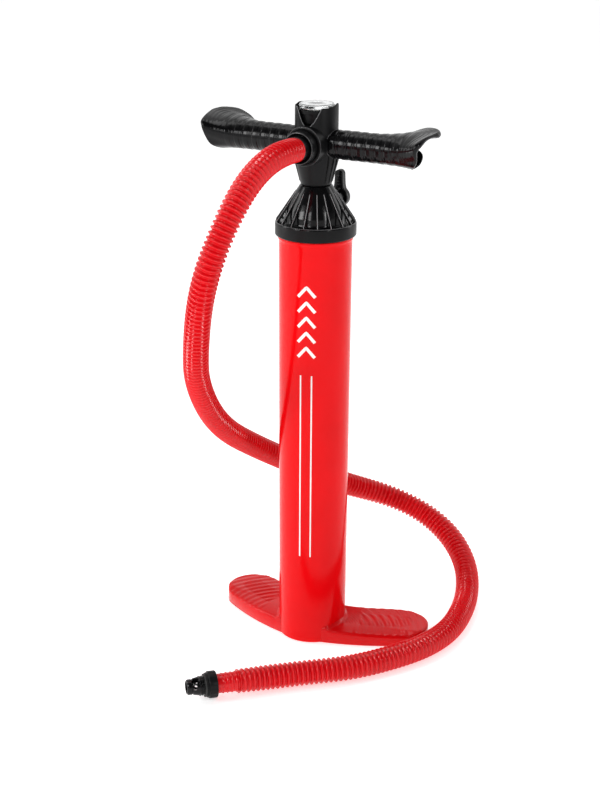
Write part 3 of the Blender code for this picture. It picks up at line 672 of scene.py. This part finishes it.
def make_nozzle_nose():
    """The tapered nose: end ring, bayonet opening, cross hole and ring ribs."""
    profile = [(6.2, 9.0), (10.6, 9.0), (10.6, 12.0)]
    for start in (12.0, 14.4, 16.8):
        profile += [(10.9, start + 0.5), (10.9, start + 1.3), (10.1, start + 1.7), (10.1, start + 2.4)]
    profile += [(9.9, 20.0), (9.0, 24.6), (8.0, 25.6), (8.0, 26.2), (8.6, 26.8), (8.5, 30.4), (7.4, 31.8)]
    profile += [(6.6, 31.8), (6.2, 31.0)]
    nose = bmesh.new()
    add_turned(nose, profile, 72)
    opening = bmesh.new()
    out = fitting_direction(72, 0)
    turn = Matrix.Translation(out * 9.0 + UP * 22.6) @ UP.rotation_difference(out).to_matrix().to_4x4()
    bmesh.ops.create_cube(opening, size=1.0, matrix=turn @ Matrix.Diagonal((6.4, 6.4, 7.0, 1)))
    hole = bmesh.new()
    turn = UP.rotation_difference(fitting_direction(18, 14.8)).to_matrix().to_4x4()
    turn = Matrix.Translation((0, 0, 21.0)) @ turn
    add_turned(hole, tube_profile(0, 2.5, -16, 16), 32, turn)
    shape = carve(nose, [opening, hole])
    return piece(shape, "fitting_nose", "gloss", "fitting", "nozzle_body", "black", sharp=35, **AT_FITTING)


# ---- Barrel and feet


def make_barrel():
    profile = [
        (0, 0), (BARREL_FOOT_RADIUS - 1, 0), (BARREL_FOOT_RADIUS, 1.2), (BARREL_TOP_RADIUS - 0.06, 466),
        (BARREL_TOP_RADIUS + 0.25, 468.6), (BARREL_TOP_RADIUS + 1.2, 470.4), (BARREL_TOP_RADIUS + 1.3, 472.6),
        (BARREL_TOP_RADIUS - 0.2, 473.3), (BARREL_TOP_RADIUS - 0.2, 482.4), (35.6, 482.4), (35.6, 8.2),
        (0, 8.2),
    ]
    turned_piece("barrel_tube", rounded(profile, 1.2), "red", "barrel", "barrel_foot_moulding", "red", segments=144)


def foot_outline():
    front = bezier([(22, -29), (72, -17.5), (114.7, 9.9)], 64)
    tip = arc(FOOT_TIP_CENTRE, FOOT_TIP_RADIUS, -57.4, 100, 60)
    back = bezier([(92.6, 66.5), (66, 60), (48, 39), (10, 36.5)], 50)
    return numpy.array(front[:-1] + tip[:-1] + back)


def outline_normals(outline):
    along = numpy.gradient(outline, axis=0)
    along /= numpy.linalg.norm(along, axis=1)[:, None]
    return numpy.stack([along[:, 1], -along[:, 0]], axis=1)


def tread(x, y, radius, edge):
    """Height of the tread: broad arcs out on the plate, fine ones next to the barrel."""
    reach = math.hypot(x - TREAD_CENTRE[0], y - TREAD_CENTRE[1])
    wave = math.sin(2 * math.pi * reach / TREAD_PITCH)
    broad = 0.62 * math.tanh(2.6 * wave) * smoothstep(radius, 56, 60)
    fine = 0.16 * math.sin(2 * math.pi * reach / (TREAD_PITCH / 3)) * (1 - smoothstep(radius, 54, 58))
    fine *= smoothstep(radius, 44, 46)
    on_top = 0.35 + 0.65 * smoothstep(edge, 17, 20)
    return (broad * on_top + fine * smoothstep(edge, 17, 20)) * smoothstep(edge, 0.2, 2.0)


def foot_top(x, y, edge, shoulder, fall, slope):
    """Height of the plate's top, with its shoulder and the fillet against the barrel."""
    radius = math.hypot(x, y)
    height = FOOT_ROOT_HEIGHT - slope * abs(x)
    drop = fall * max(0.0, 1 - edge / shoulder) ** 2.2
    gap = max(0.0, radius - BARREL_FOOT_RADIUS)
    fillet = 3.2 * max(0.0, 1 - gap / 3.2) ** 2
    return height - drop + fillet + tread(x, y, radius, edge)


def foot_section(point, normal, frontness, slope, outline, rows):
    """One radial slice of a plate, from the barrel out to the edge, down and back under."""
    point, normal = Vector(point), Vector(normal)
    shoulder = 4.0 + 19.0 * frontness
    fall = 0.3 + 2.9 * frontness
    inner = point.normalized() * 36.6
    round_edge = 1.6 + 2.2 * frontness
    start = point - normal * round_edge
    section = []
    for row in range(rows + 1):
        place = inner.lerp(start, row / rows)
        edge = float(numpy.min(numpy.linalg.norm(outline - numpy.array(place), axis=1)))
        section.append((place.x, place.y, foot_top(place.x, place.y, edge, shoulder, fall, slope)))
    rim = section[-1][2]
    for angle in (15, 30, 45, 60, 75, 90):
        turn = math.radians(angle)
        spot = point - normal * round_edge * (1 - math.sin(turn))
        section.append((spot.x, spot.y, rim - 0.25 - round_edge * (1 - math.cos(turn))))
    under = point - normal * 3.5
    section += [(*point, 0.6), (*(point - normal * 0.6), 0.0), (*under, 0.0)]
    return section + [(*under, rim - 6.0), (*inner, rim - 6.0)]


def make_foot(name, side):
    outline = foot_outline()
    shape = bmesh.new()
    rings = []
    for point, normal in zip(outline, outline_normals(outline)):
        frontness = smoothstep(-normal[1], 0.2, 0.85)
        section = foot_section(point, normal, frontness, FOOT_SLOPE[side], outline, 84)
        rings.append([(side * x, y, z) for x, y, z in section])
    add_sleeve(shape, rings)
    piece(shape, name, "foot", "barrel", "barrel_foot_moulding", "red", sharp=50)


def print_strip(shape, line, width, reach):
    """A thin solid strip of ink on the barrel, along (angle in degrees, height) points."""
    rings = []
    for k, (angle, height) in enumerate(line):
        before = Vector(line[max(k - 1, 0)])
        after = Vector(line[min(k + 1, len(line) - 1)])
        scale = math.radians(1) * reach
        along = Vector(((after.x - before.x) * scale, after.y - before.y)).normalized()
        ring = []
        for across, depth in ((-0.5, 0.09), (0.5, 0.09), (0.5, -0.3), (-0.5, -0.3)):
            turn = math.radians(angle) - along.y * across * width / reach
            up = height + along.x * across * width
            radius = reach + (BARREL_TOP_RADIUS - BARREL_FOOT_RADIUS) * up / BARREL_HEIGHT + depth
            ring.append(round_point(radius, turn, up))
        rings.append(ring)
    add_sleeve(shape, rings)


def make_barrel_print():
    """A plain white print where the pump carries its decoration: chevrons over two long stripes."""
    shape = bmesh.new()
    for offset in (-9.0, 9.0):
        line = [(PRINT_ANGLE + offset, 108 + 4 * k) for k in range(55)]
        print_strip(shape, line, 1.6, BARREL_FOOT_RADIUS)
    for row in range(5):
        base = 345 + 17 * row
        line = [(PRINT_ANGLE + 1.15 * k, base + 11 * (1 - abs(k) / 12)) for k in range(-12, 13)]
        print_strip(shape, line, 3.4, BARREL_FOOT_RADIUS)
    piece(shape, "barrel_print", "ink", "barrel", None, "white")


# ---- Cap and lever


def add_bead(shape, path, radius, centre, closed=False):
    """A thin round bead along a path; the centre is any point well off to one side of it."""
    rings = []
    last = len(path) - 1
    for k, point in enumerate(path):
        before = path[k - 1] if closed or k > 0 else point
        after = path[(k + 1) % len(path)] if closed or k < last else point
        along = (after - before).normalized()
        across = along.cross(point - centre).normalized()
        outward = across.cross(along)
        rings.append([point + (across * math.cos(a) + outward * math.sin(a)) * radius for a in turns(8)])
    if closed:
        add_rings(shape, rings, closed=True)
    else:
        add_sleeve(shape, rings)


def make_cap():
    outline = [
        (DECK_RADIUS, CAP_BOTTOM), (44.0, CAP_BOTTOM + 0.7), (44.0, CAP_DECK - 1.0), (43.2, CAP_DECK),
        (35.6, CAP_DECK), (34.9, CAP_DECK + 1.4), (33.6, 496.5), (31.2, 504.0), (27.6, 511.3), (24.0, 517.2),
        (21.7, 521.4), (CONE_TOP_RADIUS, CAP_TOP - 0.9), (16.4, CAP_TOP), (12.0, CAP_TOP), (12.0, 522.3),
        (14.6, 522.3), (14.6, 486.8), (23.0, 486.8), (23.0, 484.6), (40.4, 484.6), (40.4, CAP_BOTTOM),
    ]
    shell = bmesh.new()
    add_turned(shell, closed_profile(outline, 0.7), 144)
    boss = tube_profile(0, 8.4, 21, LEVER_BOSS_END)
    add_turned(shell, rounded(boss, 0.8), 48, lying(LEVER_Z, -90, "X"))
    piece(shell, "cap_shell", "gloss", *ON_CAP)
    skirt = tube_profile(43.2, 44.15, CAP_BOTTOM + 0.9, CAP_DECK - 1.3)
    turned_piece("cap_skirt", closed_profile(skirt, 0.3), "satin", *ON_CAP, segments=144)
    make_fins()


def make_fins():
    """Thin radial plates with rounded edges, from the drum down to the rim of the cap."""
    slope = (CAP_TOP - 0.8 - (CAP_DECK + 0.6)) / (CONE_TOP_RADIUS - DECK_RADIUS - 0.1)
    inner = 20.0
    half = 0.75
    shape = bmesh.new()
    for angle in turns(FIN_COUNT):
        turn = Matrix.Rotation(angle, 4, "Z")
        rings = []
        for depth, width in ((4.0, half), (0.7, half), (0.3, half * 0.86), (0.05, half * 0.5), (0.0, 0.0)):
            top = (inner, CAP_DECK + 0.6 + slope * (inner - DECK_RADIUS) - depth)
            low = (DECK_RADIUS - 0.62 * depth, CAP_DECK + 0.6 - 0.15 * depth)
            foot = (DECK_RADIUS - 0.2 - 0.62 * depth, CAP_DECK - 0.6)
            rings.append([(top, width), (low, width), (foot, width)])
        strip = []
        for side in (1, -1):
            order = rings if side > 0 else rings[-2::-1]
            for ring in order:
                strip.append([turn @ Vector((r, side * width, z)) for (r, z), width in ring])
        made = [[shape.verts.new(point) for point in line] for line in strip]
        for first, second in zip(made, made[1:] + made[:1]):
            for corners in zip(first, first[1:], second[1:], second):
                shape.faces.new(corners)
        for end in (0, -1):
            shape.faces.new([line[end] for line in made])
    piece(shape, "cap_fins", "gloss", *ON_CAP, sharp=60)
    make_fin_edges(slope)


def make_fin_edges(slope):
    """The edges of the fins, and of the deck that they stand on: thin beads in a lighter grey, painted highlights
    along the edges.
    """
    edges = bmesh.new()
    for angle in turns(FIN_COUNT):
        turn = Matrix.Rotation(angle, 4, "Z")
        line = []
        for radius in (21.8, 28.0, 34.0, 40.0, 43.2):
            line.append(turn @ Vector((radius, 0, CAP_DECK + 0.45 + slope * (radius - DECK_RADIUS))))
        add_bead(edges, line, 0.42, Vector((0, 0, CAP_DECK - 20)))
    piece(edges, "cap_fin_edges", "drift_and_painted_highlight", *ON_CAP, sharp=80)
    # The deck's rim bead is a lighter grey: a painted highlight.
    rim = tube_profile(42.7, 43.5, CAP_DECK - 0.5, CAP_DECK + 0.25)
    turned_piece("cap_rim_edge", closed_profile(rim, 0.3), "edge", *ON_CAP, segments=144)


def pillow(shape, outline, low, high, edge, matrix):
    """An outline extruded from low to high, with all its edges rounded."""
    rings = []
    profile = []
    for k in range(5):
        angle = math.radians(90 * k / 4)
        profile.append((edge * (1 - math.sin(angle)), edge * (1 - math.cos(angle))))
    heights = [(inset, low + fall) for inset, fall in profile]
    heights += [(inset, high - fall) for inset, fall in reversed(profile)]
    normals = outline_normals(numpy.array(outline + [outline[0]]))[:-1]
    for inset, height in heights:
        ring = []
        for (x, y), (nx, ny) in zip(outline, normals):
            ring.append(matrix @ Vector((x - nx * inset, y - ny * inset, height)))
        rings.append(ring)
    add_sleeve(shape, rings)


def make_lever():
    outline = arc((0, 0), 11.3, 128, 412, 40)
    outline += bezier([(6.96, 8.9), (5.4, 11.5), (5.3, 16.0), (5.0, LEVER_ARM)], 8)[1:-1]
    outline += arc((0, LEVER_ARM), 5.0, 0, 180, 18)
    outline += bezier([(-5.0, LEVER_ARM), (-5.3, 16.0), (-5.4, 11.5), (-6.96, 8.9)], 8)[1:-1]
    shape = bmesh.new()
    pillow(shape, outline, -(LEVER_BOSS_END + 9.2), -(LEVER_BOSS_END + 0.4), 1.6, lying(LEVER_Z, 90, "X"))
    back = lying(LEVER_Z, -90, "X")
    spindle = tube_profile(0, 4.9, 31.5, LEVER_BOSS_END + 2)
    add_turned(shape, rounded(spindle, 0.4), 32, back)
    button = [(0, 59), (4.2, 59), (4.2, LEVER_BOSS_END + 9.25), (3.4, LEVER_BOSS_END + 9.25), (3.2, 60.6), (0, 60.6)]
    add_turned(shape, rounded(button, 0.2), 32, back)
    for row in range(4):
        rib = Matrix.Translation((0, LEVER_BOSS_END + 0.55, LEVER_Z + 14 + 3.2 * row))
        bmesh.ops.create_cube(shape, size=1.0, matrix=rib @ Matrix.Diagonal((7.0, 0.5, 0.9, 1)))
    piece(shape, "lever_body", "gloss", "mode_lever", "mode_lever", "black")


# ---- Handle


def hub_rim(angle):
    """Height of the hub's rim: horns over the grips, V windows front and back."""
    x = HUB_RADIUS * math.cos(angle)
    y = HUB_RADIUS * math.sin(angle)
    horn = smoothstep(y, -6.0, 2.0) if x > 0 else smoothstep(y, -4.0, 3.0)
    horn *= 1 - smoothstep(y, 7.0, 9.0)
    height = HUB_RIM + (HORN_TOP - HUB_RIM) * horn * (1.0 if x > 0 else 0.4)
    if abs(y) > HUB_RADIUS * 0.6:
        out = abs(x - NOTCH_SHIFT)
        notch = NOTCH_BOTTOM + 0.085 * out**2 + 0.35 * (math.hypot(out, 2.0) - 2.0)
        height = min(height, notch)
    return height


def notch_angles(side):
    """Angles over one window, closer together where the rim is steep."""
    middle = side * math.pi / 2
    return [middle + NOTCH_SPREAD * k / 48 for k in range(-48, 49)]


def make_hub():
    angles = sorted(notch_angles(1) + [a + 2 * math.pi for a in notch_angles(-1)])
    quarter = math.pi / 2 - NOTCH_SPREAD
    for middle in (math.pi, 2 * math.pi):
        angles += [middle + quarter * k / 24 for k in range(-23, 24)]
    angles.sort()
    shape = bmesh.new()
    wall_in = 22.1
    floor = 590.0
    rings = []
    for angle in angles:
        top = hub_rim(angle)
        section = [(11.4, HUB_BOTTOM), (15.9, HUB_BOTTOM), (16.5, HUB_BOTTOM + 0.5), (16.9, HUB_BOTTOM + 1.4)]
        section += [(18.7, 538), (20.6, 546), (22.2, 553), (22.9, 557), (HUB_RADIUS, 562)]
        section += [(HUB_RADIUS, top - 0.8), (HUB_RADIUS - 0.12, top - 0.35), (HUB_RADIUS - 0.4, top - 0.08)]
        section += [(HUB_RADIUS - 0.6, top), (wall_in + 0.3, top), (wall_in + 0.1, top - 0.12)]
        section += [(wall_in, top - 0.5), (wall_in, floor), (11.4, floor)]
        rings.append([round_point(r, angle, z) for r, z in section])
    add_rings(shape, rings, closed=True)
    add_hub_arms(shape)
    piece(shape, "hub_body", "satin", *ON_HUB, sharp=42)
    make_window_beads()
    make_neck_ribs()
    make_hub_edges()


def add_hub_arms(shape):
    for side in (1, -1):
        arm = [(0, 10), (17.8, 12), (17.7, 17.6), (16.9, 18.6), (15.4, 18.8), (13, 18.9), (10.5, 25.5)]
        add_turned(shape, rounded(arm + [(10.5, 60), (0, 60)], 0.9), 64, lying(HANDLE_Z, side * 90, "Y"))
    boss = [(5.2, 10), (20.9, 10), (20.9, 28.6), (20.4, 29.8), (18.6, 30.2), (18.2, 29.4), (13.0, 29.4)]
    boss += [(13.0, 34.5), (7.0, 34.5), (7.0, 31.2), (5.2, 31.2)]
    add_turned(shape, closed_profile(boss, 0.5), 80, lying(HANDLE_Z, 90, "X"))


def make_window_beads():
    """The thin raised border of each window, in a lighter grey as a painted highlight, and the knurled panel behind
    it.
    """
    beads = bmesh.new()
    for side in (1, -1):
        rings = []
        for angle in notch_angles(side)[2:-2]:
            height = hub_rim(angle) - 0.5
            centre = Vector(round_point(HUB_RADIUS, angle, height))
            outward = Vector(round_point(1, angle, 0))
            slope = (hub_rim(angle + 0.01) - hub_rim(angle - 0.01)) / (0.02 * HUB_RADIUS)
            along = Vector((-math.sin(angle), math.cos(angle), slope)).normalized()
            across = along.cross(outward)
            rings.append([centre + outward * 0.45 * math.cos(a) + across * 0.6 * math.sin(a) for a in turns(8)])
        add_sleeve(beads, rings)
    piece(beads, "hub_window_border", "edge", *ON_HUB, sharp=80)
    for side, label in ((1, "back"), (-1, "front")):
        panel = bmesh.new()
        rings = []
        for k in range(-24, 25):
            angle = side * math.pi / 2 + math.radians(48) * k / 24
            section = [(17.3, 588), (18.3, 588), (18.3, 605.6), (19.5, 606.2), (19.5, 610.6), (17.3, 610.6)]
            rings.append([round_point(r, angle, z) for r, z in section])
        add_sleeve(panel, rings)
        piece(panel, f"hub_window_{label}", "knurl", *ON_HUB, sharp=30)


def make_hub_edges():
    """Thin edge beads in a lighter grey, painted highlights: where each arm meets the hub, and round the outlet boss.
    """
    arms = bmesh.new()
    for side in (1, -1):
        line = []
        for angle in turns(72):
            back, up = 15.3 * math.sin(angle), 15.3 * math.cos(angle)
            line.append(Vector((side * (math.sqrt(HUB_RADIUS**2 - back**2) + 0.1), back, HANDLE_Z + up)))
        add_bead(arms, line, 0.4, Vector((0, 0, HANDLE_Z)), closed=True)
    piece(arms, "hub_arm_edges", "edge", *ON_HUB, sharp=80)
    boss = tube_profile(20.3, 20.95, 29.5, 30.1)
    turned_piece("hub_boss_edge", closed_profile(boss, 0.25), "edge", *ON_HUB, **AT_OUTLET)


def make_neck_ribs():
    """Upright ribs and the ledges under the arms, on both sides of the neck."""
    shape = bmesh.new()
    outline = [(15.5, 532.0), (17.8, 532.0), (23.8, 555.0), (23.8, 561.5), (20.0, 561.5)]
    for side in (0, 180):
        for offset in (-27, -9, 9, 27):
            turn = Matrix.Rotation(math.radians(side + offset), 4, "Z")
            add_prism(shape, outline, -0.8, 0.8, turn @ lying(0, 90, "X"))
    piece(shape, "hub_ribs", "satin", *ON_HUB)


def grip_ridges(along):
    """How far the rings of a grip stand up: broad bands with fine lines between them."""
    phase = (along / GRIP_PITCH) % 1.0
    band = smoothstep(phase, 0.02, 0.08) * (1 - smoothstep(phase, 0.52, 0.58))
    fine = 0.5 + 0.5 * math.sin(2 * math.pi * along / (GRIP_PITCH / 4.5))
    return 0.5 * band + 0.2 * fine * (1 - band)


def grip_surface(rim, share):
    """A ring on the outside of a grip: share 0 is the plain tube, share 1 the rim of the palm flange."""
    ring = []
    for k, edge in enumerate(rim):
        flare = share ** (3 - 1.2 * smoothstep(edge.y, 5, 25))
        angle = 2 * math.pi * k / len(rim) - math.pi
        along = GRIP_FLARE_START + (edge.x - GRIP_FLARE_START) * share
        lift = grip_ridges(along) * (1 - smoothstep(share, 0.6, 0.85))
        lift += 0.12 * math.sin(share * 95) * smoothstep(share, 0.72, 0.8) * (1 - smoothstep(share, 0.95, 0.99))
        back = (GRIP_RADIUS + lift) * math.sin(angle) * (1 - flare) + edge.y * flare
        up = (GRIP_RADIUS + lift) * math.cos(angle) * (1 - flare) + (edge.z + lift) * flare
        ring.append(Vector((along, back, up)))
    return ring


def surface_normals(ring, before, after):
    normals = []
    for k in range(len(ring)):
        around = ring[(k + 1) % len(ring)] - ring[k - 1]
        normals.append(around.cross(after[k] - before[k]).normalized())
    if sum(n.z * p.z + n.y * p.y for n, p in zip(normals, ring)) < 0:
        normals = [-n for n in normals]
    return normals


def flare_rings(rim):
    """Rings of the flare from the plain tube out to the rim, around it and back inside."""
    steps = 110
    outside = [grip_surface(rim, k / steps) for k in range(steps + 1)]
    thick = [2.8 + 4.2 * smoothstep(math.hypot(edge.y, edge.z), 18, 27) for edge in rim]
    edge_normals = surface_normals(outside[-1], outside[-6], outside[-1])
    away = [(a - b).normalized() for a, b in zip(outside[-1], outside[-4])]
    rounding = []
    for angle in range(15, 180, 15):
        turn = math.radians(angle)
        ring = []
        for point, normal, out, wall in zip(outside[-1], edge_normals, away, thick):
            swing = normal * (math.cos(turn) - 1) * wall / 2 + out * math.sin(turn) * wall * 0.45
            ring.append(point + swing)
        rounding.append(ring)
    inside = []
    for k in (110, 106, 101, 95, 88, 80, 70, 58, 44, 30):
        normals = surface_normals(outside[k], outside[max(k - 5, 0)], outside[min(k + 5, steps)])
        share = smoothstep(k / steps, 0.5, 1.0)
        ring = []
        for point, normal, wall in zip(outside[k], normals, thick):
            ring.append(point - normal * (3.0 + (wall - 3.0) * share))
        inside.append(ring)
    return outside + rounding + inside


def plain_ring(side, along, radius, count):
    ring = []
    for k in range(count):
        angle = 2 * math.pi * k / count - math.pi
        ring.append((side * along, radius * math.sin(angle), HANDLE_Z + radius * math.cos(angle)))
    return ring


def make_grip(label, side):
    rim = closed_spline(GRIP_RIM, 6)
    count = len(rim)
    start = GRIP_ROOT
    rings = [plain_ring(side, start, GRIP_BORE, count), plain_ring(side, start, GRIP_NECK - 0.8, count)]
    rings.append(plain_ring(side, start + 0.3, GRIP_NECK, count))
    steps = 80
    for k in range(steps):
        along = start + 0.9 + (GRIP_FLARE_START - start - 0.9) * k / steps
        radius = GRIP_NECK + (GRIP_RADIUS - GRIP_NECK) * smoothstep(along, 22, 44)
        rings.append(plain_ring(side, along, radius + grip_ridges(along), count))
    rings += [[(side * point.x, point.y, HANDLE_Z + point.z) for point in ring] for ring in flare_rings(rim)]
    rings.append(plain_ring(side, GRIP_FLARE_START, GRIP_BORE, count))
    shape = bmesh.new()
    add_rings(shape, rings, closed=True)
    piece(shape, f"grip_{label}", "grip", "handle", f"{label}_grip", "grip", sharp=75)


def make_nut():
    outline = [(13.6, 30.6), (16.2, 30.6), (17.2, 31.4), (17.4, 40.6), (17.0, 41.7), (16.3, 42.0)]
    outline += [(15.7, 41.4), (15.1, 38.0), (13.6, 37.4)]

    def flute(angle, radius, height):
        ends = smoothstep(height, 31.5, 33) * (1 - smoothstep(height, 39.5, 41))
        return 0.3 * max(0.0, math.cos(24 * angle)) ** 2 * smoothstep(radius, 16.8, 17.2) * ends

    shape = bmesh.new()
    add_fluted(shape, closed_profile(outline, 0.5), 144, flute)
    piece(shape, "nut_ring", "satin", *ON_NUT, **AT_OUTLET)
    # The lip's bead is a lighter grey: a painted highlight round the front edge.
    lip = [(16.1, 41.6), (16.8, 41.4), (17.0, 42.0), (16.2, 42.25)]
    turned_piece("nut_lip_edge", closed_profile(lip, 0.2), "edge", *ON_NUT, **AT_OUTLET)


def make_gauge():
    can = [(1.5, 596.4), (19.4, 596.4), (19.4, 606.2), (20.7, 606.2), (20.7, 610.4), (19.2, 610.4), (17.2, 606.2)]
    can += [(17.2, 597.6), (1.5, 597.6)]
    turned_piece("gauge_can", closed_profile(can, 0.3), "satin", "handle", "gauge_housing", "black")
    lens = [(0, 612.2), (17.4, 611.9), (17.4, 608.1), (18.9, 608.1), (18.9, 614.6), (18.0, 615.8), (10, 616.3)]
    turned_piece("gauge_crystal", rounded(lens + [(0, 616.4)], 0.6), "clear", "handle", "gauge_lens", "clear")
    marks = bmesh.new()
    for k in range(31):
        angle = math.radians(225 - 9 * k)
        major = k % 5 == 0
        inner = 11.2 if major else 13.2
        middle = (inner + 16.2) / 2
        spot = Matrix.Rotation(angle, 4, "Z") @ Matrix.Translation((middle, 0, 607.36))
        size = (16.2 - inner, 0.75 if major else 0.4, 0.12, 1)
        bmesh.ops.create_cube(marks, size=1.0, matrix=spot @ Matrix.Diagonal(size))
    piece(marks, "gauge_marks", "satin", "handle", "gauge_dial", "white")
    ring = closed_profile(tube_profile(16.6, 17.6, 606.6, 607.9), 0.2)
    turned_piece("gauge_bezel", ring, "satin", "handle", "gauge_dial", "white")
    disc = closed_profile(tube_profile(1.0, 16.9, 606.5, 607.3), 0.1)
    turned_piece("gauge_face", disc, "dial", "handle", "gauge_dial", "white")


# ---- Stage


def make_stage():
    nodes = Nodes(bpy.data.materials.new("floor_pale"))
    nodes.set("Base Color", (0.93, 0.93, 0.93, 1))
    nodes.set("Roughness", 0.9)
    nodes.set("Emission Color", (1, 1, 1, 1))
    nodes.set("Emission Strength", 0.5)
    shape = bmesh.new()
    bmesh.ops.create_grid(shape, x_segments=1, y_segments=1, size=6)
    mesh = bpy.data.meshes.new("floor")
    shape.to_mesh(mesh)
    shape.free()
    mesh.materials.append(nodes.owner)
    floor = add_object("floor", mesh)
    floor.location.z = -0.0004


def add_light(name, angle, distance, height, size, power):
    """A soft box at an angle to the right of the camera, aimed at the middle of the pump."""
    camera_side = Vector((0.47, -0.88, 0))
    right = Vector((0.88, 0.47, 0))
    turn = math.radians(angle)
    place = (camera_side * math.cos(turn) + right * math.sin(turn)) * distance + UP * height
    data = bpy.data.lights.new(name, "AREA")
    data.shape = "RECTANGLE"
    data.size, data.size_y = size
    data.energy = power
    item = add_object(name, data)
    item.location = place
    item.rotation_euler = (Vector((0, 0, 0.35)) - place).to_track_quat("-Z", "Y").to_euler()


def make_world():
    """A white studio: bright behind the pump and all along the horizon, darker above the camera."""
    world = bpy.data.worlds.new("studio")
    nodes = Nodes(world, "Background", "Generated")
    nodes.set("Color", (1, 1, 1, 1))
    beyond = nodes.remap(nodes.dot((-0.47, 0.88, 0.0)), -0.3, 0.5, 0.1, 1.0)
    level = nodes.math("ABSOLUTE", nodes.dot((0.0, 0.0, 1.0)))
    horizon = nodes.remap(level, 0.17, 0.3, 1.0, 0.1)
    nodes.feed(nodes.math("MAXIMUM", beyond, horizon), "Strength")
    bpy.context.scene.world = world


def make_lights():
    make_world()
    add_light("wide_left", -58, 2.5, 1.45, (0.7, 0.9), 24)
    add_light("front_left", -24, 2.6, 1.6, (0.3, 1.2), 12)
    add_light("front_right", 38, 2.4, 1.4, (0.3, 1.2), 14)
    add_light("left", -100, 2.0, 0.9, (0.4, 1.8), 9)
    add_light("right", 112, 2.0, 0.9, (0.4, 1.8), 6)
    add_light("top", 200, 0.5, 2.4, (1.3, 0.9), 9)
    view = bpy.context.scene.view_settings
    view.view_transform = "Standard"
    view.gamma = 0.92


make_camera()
make_hose()
paint_cad_nodes()
make_barrel()
make_foot("foot_right", 1)
make_foot("foot_left", -1)
make_barrel_print()
make_cap()
make_lever()
make_hub()
make_grip("left", -1)
make_grip("right", 1)
make_nut()
make_gauge()
make_stage()
make_lights()
